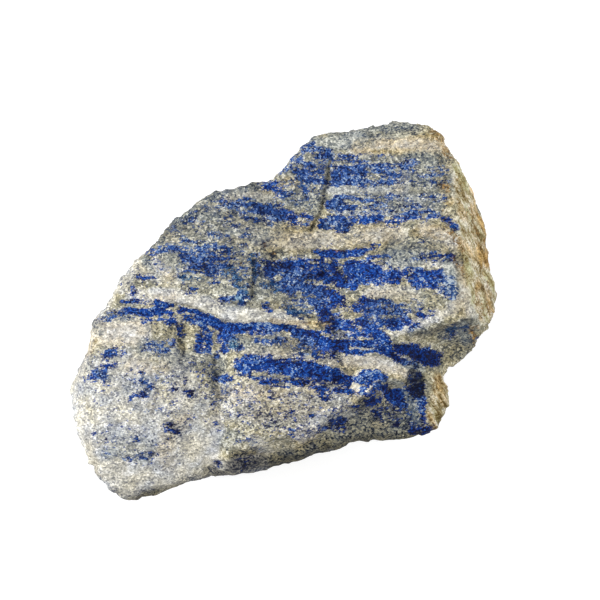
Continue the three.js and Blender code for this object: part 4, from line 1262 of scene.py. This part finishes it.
def keep(name, share):
    """Keep one value for every point of the skin, as a named attribute."""
    layer = skin.attributes.new(name, "FLOAT", "POINT")
    layer.data.foreach_set("value", np.clip(share, 0, MOST).astype(np.float32))


wavy_u = u + 0.7 * wander(smooth_points, 2.6, 3, seed=11)
wavy_v = v + 0.35 * wander(smooth_points, 2.6, 3, seed=13)
patchy = wander(smooth_points, 14, 3, seed=15)
patchy_small = wander(smooth_points, 5, 3, seed=16)


def soft(brushes, feather=FEATHER):
    """Brushes with wavy edges."""
    return drawn(brushes, wavy_u, wavy_v, feather)


def crisp(brushes):
    """Brushes with ragged edges and almost no feather."""
    return drawn(brushes, ragged_u, ragged_v, CRISP_FEATHER)


face_blue = np.maximum(soft(BLUE) * (1 - soft(GAPS, GAP_FEATHER)), crisp(CRISP))
face_dark_and_shade = np.maximum(soft(DARK_AND_SHADE), crisp(CRISP_DARK))
face_haze = np.maximum(soft(HAZE), crisp(CRISP_HAZE))
face_pale = soft(PALE)
halo = HALO_SHARE * soft(BLUE, HALO_FEATHER) * (1 - face_pale)
print("share of blue in front:", round((face_blue * in_front).sum() / in_front.sum(), 3))

# %% [markdown]
# Each share is now kept under its own name. What counts in front is what was drawn, and
# what counts behind is sheets for the blue and slow noise for the rest. An image wrapped
# round the stone could hold the same, but it would need seams, and the skin has none.

# %% Keep the shares where the shader can read them
keep("lazurite", FRONT_BLUE * in_front * face_blue + behind * sheet_blue)
keep("flecks", in_front * soft(FLECKS) + behind * 0.3 * smooth_step(0.2 + 1.4 * patchy))
# The dark share holds dark grains and painted shade on the undercut, under the ridge and in cracks.
keep("dark", in_front * face_dark_and_shade + behind * 0.5 * smooth_step(0.3 - 1.5 * patchy_small))
keep("halo", in_front * halo)
keep("haze", in_front * face_haze + behind * 0.5 * smooth_step(0.3 + 1.5 * patchy_small))
keep("teal", in_front * soft(TEAL) + behind * 0.5 * smooth_step(1.6 * patchy_small - 0.3))
keep("tan", in_front * soft(TAN) + behind * 0.7 * smooth_step(0.4 - 1.3 * patchy))
keep("rust", in_front * soft(RUST) + behind * 0.6 * smooth_step(1.8 * patchy_small - 0.6))
keep("light", in_front * soft(LIGHT))
keep("pale", in_front * face_pale + behind * smooth_step(0.45 + 1.2 * patchy))
keep("rind", np.clip(rind, 0, 1) * (0.75 + 0.25 * in_front))
# Painted shade: darker in the grooves and hollows, and along the undercut rim, kept as one share.
keep("painted_shade", np.clip(1.3 * grooves + 0.25 * hollows + soft(SHADE_LINES), 0, 1))
print("attributes:", [a.name for a in skin.attributes if a.data_type == "FLOAT"])

# %% [markdown]
# ## Building shaders in code
# A material is a small network: nodes that make patterns, mix colours or bend normals. A few
# helpers keep the code short. `add` makes a node and fills its sockets, either with a value
# or with a link from another node, `maths` does one sum, and `weighed` adds up a whole list.

# %% Helpers for shader nodes


def fill(tree, node, ins):
    """Fill a node's sockets, by name or number, with values or with other sockets."""
    for name, value in ins.items():
        if isinstance(value, bpy.types.NodeSocket):
            tree.links.new(value, node.inputs[name])
        else:
            node.inputs[name].default_value = value
    return node


def add(tree, kind, ins=None, **settings):
    """A new node with its sockets filled."""
    made = tree.nodes.new(kind)
    for name, value in settings.items():
        setattr(made, name, value)
    return fill(tree, made, ins or {})


def maths(tree, what, a, b=0.0, c=0.0, clamp=False):
    """One sum on two or three values."""
    made = add(tree, "ShaderNodeMath", {0: a, 1: b, 2: c}, operation=what, use_clamp=clamp)
    return made.outputs[0]


def weighed(tree, total, parts):
    """A total to which values are added one by one, each with a weight of its own."""
    for value, weight in parts:
        total = maths(tree, "MULTIPLY_ADD", value, weight, total)
    return total


def mixed(tree, share, a, b, how="MIX"):
    """Two colours mixed by a share."""
    ins = {0: share, 6: a, 7: b}
    return add(tree, "ShaderNodeMix", ins, data_type="RGBA", blend_type=how).outputs[2]


def painted(tree, name):
    """A mineral's share as it was painted on the skin."""
    made = add(tree, "ShaderNodeAttribute", attribute_name=name, attribute_type="GEOMETRY")
    return made.outputs["Fac"]


def cloudy(tree, where, scale, detail, **more):
    """Cloudy noise, with `scale` lumps to a millimetre."""
    ins = {"Vector": where, "Scale": scale, "Detail": detail, **more}
    return add(tree, "ShaderNodeTexNoise", ins).outputs[0]


def rgb(red, green, blue):
    """A colour as seen on a screen, 0 to 255, turned into light."""
    return tuple((channel / 255) ** 2.2 for channel in (red, green, blue)) + (1.0,)


print("cream as light:", [round(x, 3) for x in rgb(215, 208, 190)])

# %% [markdown]
# ## Mineral grains
# Rock is made of grains. A group called `Mineral grains` cuts space into cells, gives each a
# random number, and shows the cells whose number is under the cover. So a cover of 0.3 shows
# three grains in ten, and a painted share becomes real speckle. It also gives each grain a
# tone of its own. Blue, brown and shining grains are all made with it.

# %% A node group that turns a share into grains
grains = bpy.data.node_groups.new("Mineral grains", "ShaderNodeTree")
for name, kind in (("Where", "NodeSocketVector"), ("Grain size", "NodeSocketFloat"),
                   ("Cover", "NodeSocketFloat"), ("Softness", "NodeSocketFloat")):
    grains.interface.new_socket(name, in_out="INPUT", socket_type=kind)
for name in ("Mask", "Tone"):
    grains.interface.new_socket(name, in_out="OUTPUT", socket_type="NodeSocketFloat")

given = add(grains, "NodeGroupInput").outputs
frequency = maths(grains, "DIVIDE", 1.0, given["Grain size"])
cells = add(grains, "ShaderNodeTexVoronoi", {"Vector": given["Where"], "Scale": frequency})
numbers = add(grains, "ShaderNodeSeparateColor", {0: cells.outputs["Color"]}).outputs
fine = cloudy(grains, given["Where"], maths(grains, "MULTIPLY", frequency, 1.7), 2.0)
spread = maths(grains, "MULTIPLY_ADD", fine, 2.2, -0.6)
chance = maths(grains, "MULTIPLY_ADD", numbers[0], 0.5, maths(grains, "MULTIPLY", spread, 0.5))
over = maths(grains, "DIVIDE", maths(grains, "SUBTRACT", given["Cover"], chance), given["Softness"])
mask = maths(grains, "ADD", over, 0.5, clamp=True)
unevenness = maths(grains, "MULTIPLY", spread, 0.4)
tone = maths(grains, "MULTIPLY_ADD", numbers[1], 0.6, unevenness, clamp=True)
add(grains, "NodeGroupOutput", {"Mask": mask, "Tone": tone})
print("group:", grains.name, len(grains.nodes), "nodes")

# %% [markdown]
# The group is made once and placed many times. Each use has its own grain size and cover,
# and a low softness gives sharp grains while a high one lets them melt into the rock.

# %% Place the group in a material


def grain_layer(tree, where, size, cover, softness=0.16):
    """One use of the group: its mask and its tone."""
    made = add(tree, "ShaderNodeGroup", node_tree=grains)
    fill(tree, made, {"Where": where, "Grain size": size, "Cover": cover, "Softness": softness})
    return made.outputs["Mask"], made.outputs["Tone"]


print("outputs:", [item.name for item in grains.interface.items_tree if item.in_out == "OUTPUT"])

# %% [markdown]
# ## The rock itself
# The shader builds the rock in the order in which it grew. First comes pale calcite, then
# grey grains and a bluish haze, then lazurite, and last the iron stains and the weathered
# skin. Coordinates are turned to lie along the face and given in millimetres, so that every
# grain size below is a true size. Grains are drawn out a little along the bands.

# %% Coordinates along the bands
ALONG_BANDS = 0.74

rock = bpy.data.materials.new("lapis_rock")
rock.use_nodes = True
tree = rock.node_tree
tree.nodes.clear()


def mapped(where, scale=(1, 1, 1), turn=(0, 0, 0)):
    """Coordinates turned and then scaled."""
    ins = {"Vector": where, "Rotation": turn, "Scale": scale}
    return add(tree, "ShaderNodeMapping", ins).outputs[0]


place = add(tree, "ShaderNodeTexCoord").outputs["Object"]
banded = mapped(place, (ALONG_BANDS / MM, 1 / MM, 1 / MM), (-FACE_LEAN, 0, 0))
fibrous = mapped(mapped(banded, turn=(0, 0, -FIBRE_ANGLE)), (0.14, 1.0, 0.3))
streaked = mapped(banded, (0.24, 1.0, 1.0))
print("one unit is now one millimetre")

# %% [markdown]
# ## Calcite and grey rock
# One tone from 0 to 1 holds everything that makes rock lighter or darker: single grains,
# streaks, slow clouds and the painted shares. Colour ramps turn it into cream, white or
# grey-blue rock, so the three keep the same grain where they meet.

# %% Colours of pale rock


def ramp_of(tree, value, stops):
    """A colour picked from a row of (position, screen colour) stops."""
    made = add(tree, "ShaderNodeValToRGB", {0: value})
    elements = made.color_ramp.elements
    while len(elements) < len(stops):
        elements.new(0.5)
    for element, (position, colour) in zip(elements, stops):
        element.position = position
        element.color = rgb(*colour)
    return made.outputs[0]


CREAMS = [(0.0, (32, 38, 48)), (0.18, (86, 90, 92)), (0.34, (130, 126, 108)),
          (0.52, (162, 156, 128)), (0.7, (192, 184, 154)), (0.85, (218, 211, 184)),
          (1.0, (246, 242, 226))]
WHITES = [(0.0, (64, 68, 88)), (0.2, (126, 128, 138)), (0.4, (170, 171, 172)),
          (0.6, (198, 197, 194)), (0.8, (222, 221, 215)), (1.0, (250, 249, 246))]
HAZES = [(0.0, (12, 24, 48)), (0.2, (58, 72, 96)), (0.4, (94, 105, 117)), (0.6, (122, 130, 133)),
         (0.8, (156, 161, 156)), (1.0, (206, 208, 200))]
TINTS = [(0.34, (240, 244, 252)), (0.5, (252, 251, 248)), (0.66, (254, 250, 238))]
print("stops:", len(CREAMS), len(WHITES), len(HAZES), len(TINTS))

# %% [markdown]
# The tone is a sum of noises of four sizes, each with its own weight, and of the painted
# dark and light shares. Calcite is cream where it is old and white where it is fresh, and a
# slow tint keeps wide areas from looking all alike. Haze, and the halo that surrounds every
# blue line, turn it grey-blue.

# %% Pale calcite, grey grains and haze
ROCK_GRAIN = 0.5
ANY_COVER = 0.5

# The dark share lowers the tone for dark grains, and as painted shade on undercuts and in cracks.
pale, dark, haze = painted(tree, "pale"), painted(tree, "dark"), painted(tree, "haze")
light_share = painted(tree, "light")
_, grain_tone = grain_layer(tree, banded, ROCK_GRAIN, ANY_COVER)
patches = cloudy(tree, banded, 0.4, 1.0)
clouds = cloudy(tree, banded, 0.12, 1.0)
streaks = cloudy(tree, streaked, 0.9, 3.0)
rock_tone = weighed(tree, -0.47, [
    (grain_tone, 1.15), (patches, 0.36), (streaks, 0.45), (clouds, 0.24), (pale, 0.06),
    (dark, -0.34), (light_share, 0.2),
])
calcite = mixed(tree, pale, ramp_of(tree, rock_tone, CREAMS), ramp_of(tree, rock_tone, WHITES))
slow_tint = ramp_of(tree, cloudy(tree, banded, 0.2, 1.0), TINTS)
calcite = mixed(tree, 1.0, calcite, slow_tint, "MULTIPLY")
bluish = maths(tree, "MAXIMUM", haze, painted(tree, "halo"))
rock_colour = mixed(tree, bluish, calcite, ramp_of(tree, rock_tone, HAZES))
print("calcite and haze made of", len(tree.nodes), "nodes so far")

# %% [markdown]
# ## Lazurite
# First comes the question of where blue grains show. Where the share is neither 0 nor 1,
# streaks along the bands push it up and down, so that half-blue rock comes out as stripes.
# Larger single grains are added for the flecks, and each of them has a bluish glow round
# it, because lazurite shows through the clear calcite that it lies in.

# %% Where lazurite grains show
LAZURITE_GRAIN, FLECK_GRAIN, GLOW_GRAIN = 0.5, 0.9, 1.6
FLECK_SHADE = rgb(196, 206, 228)

lazurite = painted(tree, "lazurite")
unsure = maths(tree, "MULTIPLY", lazurite, maths(tree, "SUBTRACT", 1.06, lazurite), clamp=True)
push = maths(tree, "MULTIPLY_ADD", streaks, 8.0, -4.0)
cover = maths(tree, "MULTIPLY_ADD", unsure, push, lazurite)
blue_mask, _ = grain_layer(tree, banded, LAZURITE_GRAIN, cover, 0.3)
flecks = painted(tree, "flecks")
fleck_mask, _ = grain_layer(tree, banded, FLECK_GRAIN, flecks, 0.1)
fleck_glow, _ = grain_layer(tree, banded, GLOW_GRAIN, maths(tree, "MULTIPLY", flecks, 1.6), 0.5)
glow_share = maths(tree, "MULTIPLY", fleck_glow, 0.35)
rock_colour = mixed(tree, glow_share, rock_colour, FLECK_SHADE, "MULTIPLY")
blue_mask = maths(tree, "MAXIMUM", blue_mask, maths(tree, "MULTIPLY", fleck_mask, 0.85))
print("grain sizes:", LAZURITE_GRAIN, FLECK_GRAIN, GLOW_GRAIN, "mm")

# %% [markdown]
# Lazurite is never one blue. Deep grains lie next to bright ones, a few are nearly black,
# and a light speck of calcite shows through even the solid bands. One colour would look
# like paint, so each grain's tone picks its blue from a colour ramp. Hazy and greenish
# places have ramps of their own.

# %% Blues of lazurite
BLUES = [(0.0, (2, 12, 46)), (0.26, (8, 38, 98)), (0.5, (12, 58, 138)), (0.72, (27, 80, 165)),
         (0.88, (68, 110, 176)), (1.0, (160, 182, 206))]
HAZY_BLUES = [(0.0, (10, 24, 56)), (0.28, (28, 52, 96)), (0.5, (50, 80, 128)),
              (0.72, (82, 110, 150)), (0.88, (122, 144, 170)), (1.0, (182, 192, 200))]
TEALS = [(0.0, (8, 34, 66)), (0.4, (34, 78, 116)), (0.7, (78, 118, 144)), (1.0, (160, 186, 194))]
TONE_GRAIN = 0.45

_, fine_tone = grain_layer(tree, banded, TONE_GRAIN, ANY_COVER)
blue_tone = weighed(tree, -0.72, [
    (fine_tone, 1.42), (patches, 0.6), (streaks, 0.36), (dark, -0.4), (light_share, 0.32),
    (flecks, -0.5),
])
clear_blue, hazy_blue = ramp_of(tree, blue_tone, BLUES), ramp_of(tree, blue_tone, HAZY_BLUES)
blue = mixed(tree, maths(tree, "MULTIPLY", haze, 0.75), clear_blue, hazy_blue)
blue = mixed(tree, painted(tree, "teal"), blue, ramp_of(tree, blue_tone, TEALS))
rock_colour = mixed(tree, blue_mask, rock_colour, blue)
print("blues:", len(BLUES))

# %% [markdown]
# ## Stains and weathered skin
# A tan iron stain is a thin film, so it multiplies what is under it and lets the grains
# show through. The weathered skin is a layer of its own, made of long fibres with a few
# dark specks, so it covers the rock.

# %% Tan stain and weathered skin
TAN_STAIN = rgb(232, 204, 150)
SPECK_COLOUR = rgb(104, 92, 68)
SPECK_GRAIN = 0.6
RINDS = [(0.0, (96, 78, 42)), (0.2, (150, 128, 82)), (0.42, (178, 166, 130)),
         (0.7, (208, 198, 170)), (1.0, (250, 246, 234))]
RIND_TINTS = [(0.34, (222, 224, 190)), (0.5, (255, 253, 248)), (0.66, (246, 212, 150))]

stain_noise = maths(tree, "MULTIPLY_ADD", cloudy(tree, banded, 0.9, 3.0), 1.4, -0.1, clamp=True)
stain = maths(tree, "MULTIPLY", painted(tree, "tan"), stain_noise)
tan_share = maths(tree, "MULTIPLY", stain, 0.8)
rock_colour = mixed(tree, tan_share, rock_colour, TAN_STAIN, "MULTIPLY")

fibre_noise = cloudy(tree, fibrous, 1.2, 4.0, Roughness=0.65)
fibre_tone = weighed(tree, -1.56, [(fibre_noise, 3.4), (dark, -0.4), (light_share, 0.35)])
fibre_tone = maths(tree, "MULTIPLY_ADD", grain_tone, 0.9, fibre_tone, clamp=True)
rind_tint = ramp_of(tree, cloudy(tree, fibrous, 0.4, 1.0), RIND_TINTS)
rind_colour = mixed(tree, 1.0, ramp_of(tree, fibre_tone, RINDS), rind_tint, "MULTIPLY")
speck_mask, _ = grain_layer(tree, banded, SPECK_GRAIN, 0.3)
rind_colour = mixed(tree, maths(tree, "MULTIPLY", speck_mask, 0.5), rind_colour, SPECK_COLOUR)
rind_share = maths(tree, "MULTIPLY", painted(tree, "rind"), 0.9)
rock_colour = mixed(tree, rind_share, rock_colour, rind_colour)
print("weathered skin made of", len(tree.nodes), "nodes so far")

# %% [markdown]
# Rust covers rock and skin alike as loose brown grains, from old dark rust to fresh orange.
# Then painted shade darkens the grooves, the hollows and the undercut rim. A fine noise over all
# of it gives the sugary shimmer of small calcite crystals.

# %% Rust, painted shade in the cracks and a sugary shimmer
OLD_RUST, NEW_RUST = rgb(64, 44, 26), rgb(222, 172, 94)
PAINTED_SHADE_COLOUR = rgb(108, 104, 100)
RUST_GRAIN = 0.5

rust_cover = maths(tree, "MULTIPLY", painted(tree, "rust"), 0.72)
rust_mask, rust_tone = grain_layer(tree, banded, RUST_GRAIN, rust_cover, 0.35)
rust_colour = mixed(tree, maths(tree, "POWER", rust_tone, 1.5), OLD_RUST, NEW_RUST)
rock_colour = mixed(tree, maths(tree, "MULTIPLY", rust_mask, 0.85), rock_colour, rust_colour)
# Painted shade: a darker grey multiplied into the grooves, hollows and undercut rim.
painted_shade = maths(tree, "MULTIPLY", painted(tree, "painted_shade"), 0.75)
rock_colour = mixed(tree, painted_shade, rock_colour, PAINTED_SHADE_COLOUR, "MULTIPLY")
sugar = cloudy(tree, banded, 2.6, 2.0)
sugar_light = maths(tree, "MULTIPLY_ADD", sugar, 1.5, 0.25)
rock_colour = mixed(tree, 1.0, rock_colour, sugar_light, "MULTIPLY")
print("colour made of", len(tree.nodes), "nodes")

# %% [markdown]
# ## Gloss and fine relief
# Broken rock is dull, but single crystal faces catch the light. A few grains get a low
# roughness and the rest stay matt. One bump, made of the grains, the sugary fine surface and
# the fibres of the rind, adds what is too small for the net of the skin.

# %% Roughness, bump and the finished surface
GLINT_GRAIN = 0.7
BUMP_DEPTH = 0.32 * MM
GLOSS = 0.17

glint_mask, _ = grain_layer(tree, banded, GLINT_GRAIN, 0.12, 0.1)
roughness = weighed(tree, 0.82, [(blue_mask, -0.12), (glint_mask, -0.4)])
grain_cells = add(tree, "ShaderNodeTexVoronoi", {"Vector": banded, "Scale": 1.25})
relief = maths(tree, "MULTIPLY_ADD", sugar, 0.5, grain_cells.outputs["Distance"])
relief = maths(tree, "MULTIPLY_ADD", fibre_noise, rind_share, relief)
bump = add(tree, "ShaderNodeBump", {"Strength": 0.8, "Distance": BUMP_DEPTH, "Height": relief})
surface = add(tree, "ShaderNodeBsdfPrincipled", {
    "Base Color": rock_colour, "Roughness": roughness, "Normal": bump.outputs[0],
})
surface.inputs["Specular IOR Level"].default_value = GLOSS
add(tree, "ShaderNodeOutputMaterial", {"Surface": surface.outputs[0]})
skin.materials.clear()
skin.materials.append(rock)
print("finished rock:", len(tree.nodes), "nodes")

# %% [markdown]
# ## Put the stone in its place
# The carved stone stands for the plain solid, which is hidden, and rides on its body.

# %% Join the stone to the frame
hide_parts("stone")
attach(stone, "root")
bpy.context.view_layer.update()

# %% [markdown]
# ## The table
# The stone stands on a plain pale light table. A sheet of paper under lamps would do, but
# its shadow is dark. The table glows a little, so that the shadow on it stays light.

# %% A pale light table
FLOOR_HALF = 3.0
PAPER_GREY = 0.4
PAPER_GLOW = 0.78

floor_mesh = bpy.data.meshes.new("floor")
corners = [(-FLOOR_HALF, -FLOOR_HALF, 0), (FLOOR_HALF, -FLOOR_HALF, 0),
           (FLOOR_HALF, FLOOR_HALF, 0), (-FLOOR_HALF, FLOOR_HALF, 0)]
floor_mesh.from_pydata(corners, [], [(0, 1, 2, 3)])
floor = bpy.data.objects.new("floor", floor_mesh)
scene.collection.objects.link(floor)
paper = bpy.data.materials.new("white_paper")
paper.use_nodes = True
paper_surface = paper.node_tree.nodes["Principled BSDF"]
paper_surface.inputs["Base Color"].default_value = (PAPER_GREY, PAPER_GREY, PAPER_GREY, 1)
paper_surface.inputs["Roughness"].default_value = 0.9
paper_surface.inputs["Emission Color"].default_value = (1, 1, 1, 1)
paper_surface.inputs["Emission Strength"].default_value = PAPER_GLOW
floor_mesh.materials.append(paper)
print("floor", 2 * FLOOR_HALF, "m wide")

# %% [markdown]
# ## Soft light
# An even sky lights the stone from all round, weaker from below the table than from above.
# One plain grey world would do it too, but then the undercut would be as bright as the top.
# The table takes no part in the scattered light, so it doesn't shine up into the undercut.

# %% Sky
SKY_LIGHT = 0.62
GROUND_LIGHT = 0.12

sky = bpy.data.worlds.new("sky")
sky.use_nodes = True
sky_tree = sky.node_tree
direction = add(sky_tree, "ShaderNodeTexCoord").outputs["Generated"]
upward = add(sky_tree, "ShaderNodeSeparateXYZ", {0: direction}).outputs["Z"]
strength = add(sky_tree, "ShaderNodeMapRange", {
    "Value": upward, "From Min": -0.3, "From Max": 0.2,
    "To Min": GROUND_LIGHT, "To Max": SKY_LIGHT,
}).outputs[0]
fill(sky_tree, sky_tree.nodes["Background"], {"Color": (1, 1, 1, 1), "Strength": strength})
scene.world = sky
floor.visible_diffuse = False
print("sky from", GROUND_LIGHT, "to", SKY_LIGHT)

# %% [markdown]
# Four wide soft lamps add shape. The strongest stands on the left, so that the bulge and
# the upper sides of the facets are bright and the undercut stays dark. Small lamps would
# give hard shadows in every chip.

# %% Lamps
LAMP_AIM = Vector((0, 0, 40 * MM))
LAMP_DISTANCE = 1.1
LAMP_WIDTH = 0.55
LAMPS = [  # name, degrees round from the front, degrees above the table, watts
    ("left_lamp", -90, 20, 8.0),
    ("front_left_lamp", -45, 27, 4.5),
    ("right_lamp", 90, 20, 3.8),
    ("back_lamp", 135, 45, 1.5),
]

for name, turn, rise, watts in LAMPS:
    turn, rise = math.radians(turn), math.radians(rise)
    towards = Vector((
        math.sin(turn) * math.cos(rise), -math.cos(turn) * math.cos(rise), math.sin(rise),
    ))
    light = bpy.data.lights.new(name, "AREA")
    light.shape = "DISK"
    light.size = LAMP_WIDTH
    light.energy = watts
    lamp = bpy.data.objects.new(name, light)
    lamp.location = LAMP_AIM + LAMP_DISTANCE * towards
    lamp.rotation_euler = (-towards).to_track_quat("-Z", "Y").to_euler()
    scene.collection.objects.link(lamp)
scene.view_settings.view_transform = "Standard"
print("lamps:", [name for name, *_ in LAMPS])

# %% [markdown]
# ## The triangles
# The count of the finished stone's triangles is printed.

# %% Count the triangles and finish
print("triangles:", sum(len(face.vertices) - 2 for face in skin.polygons))
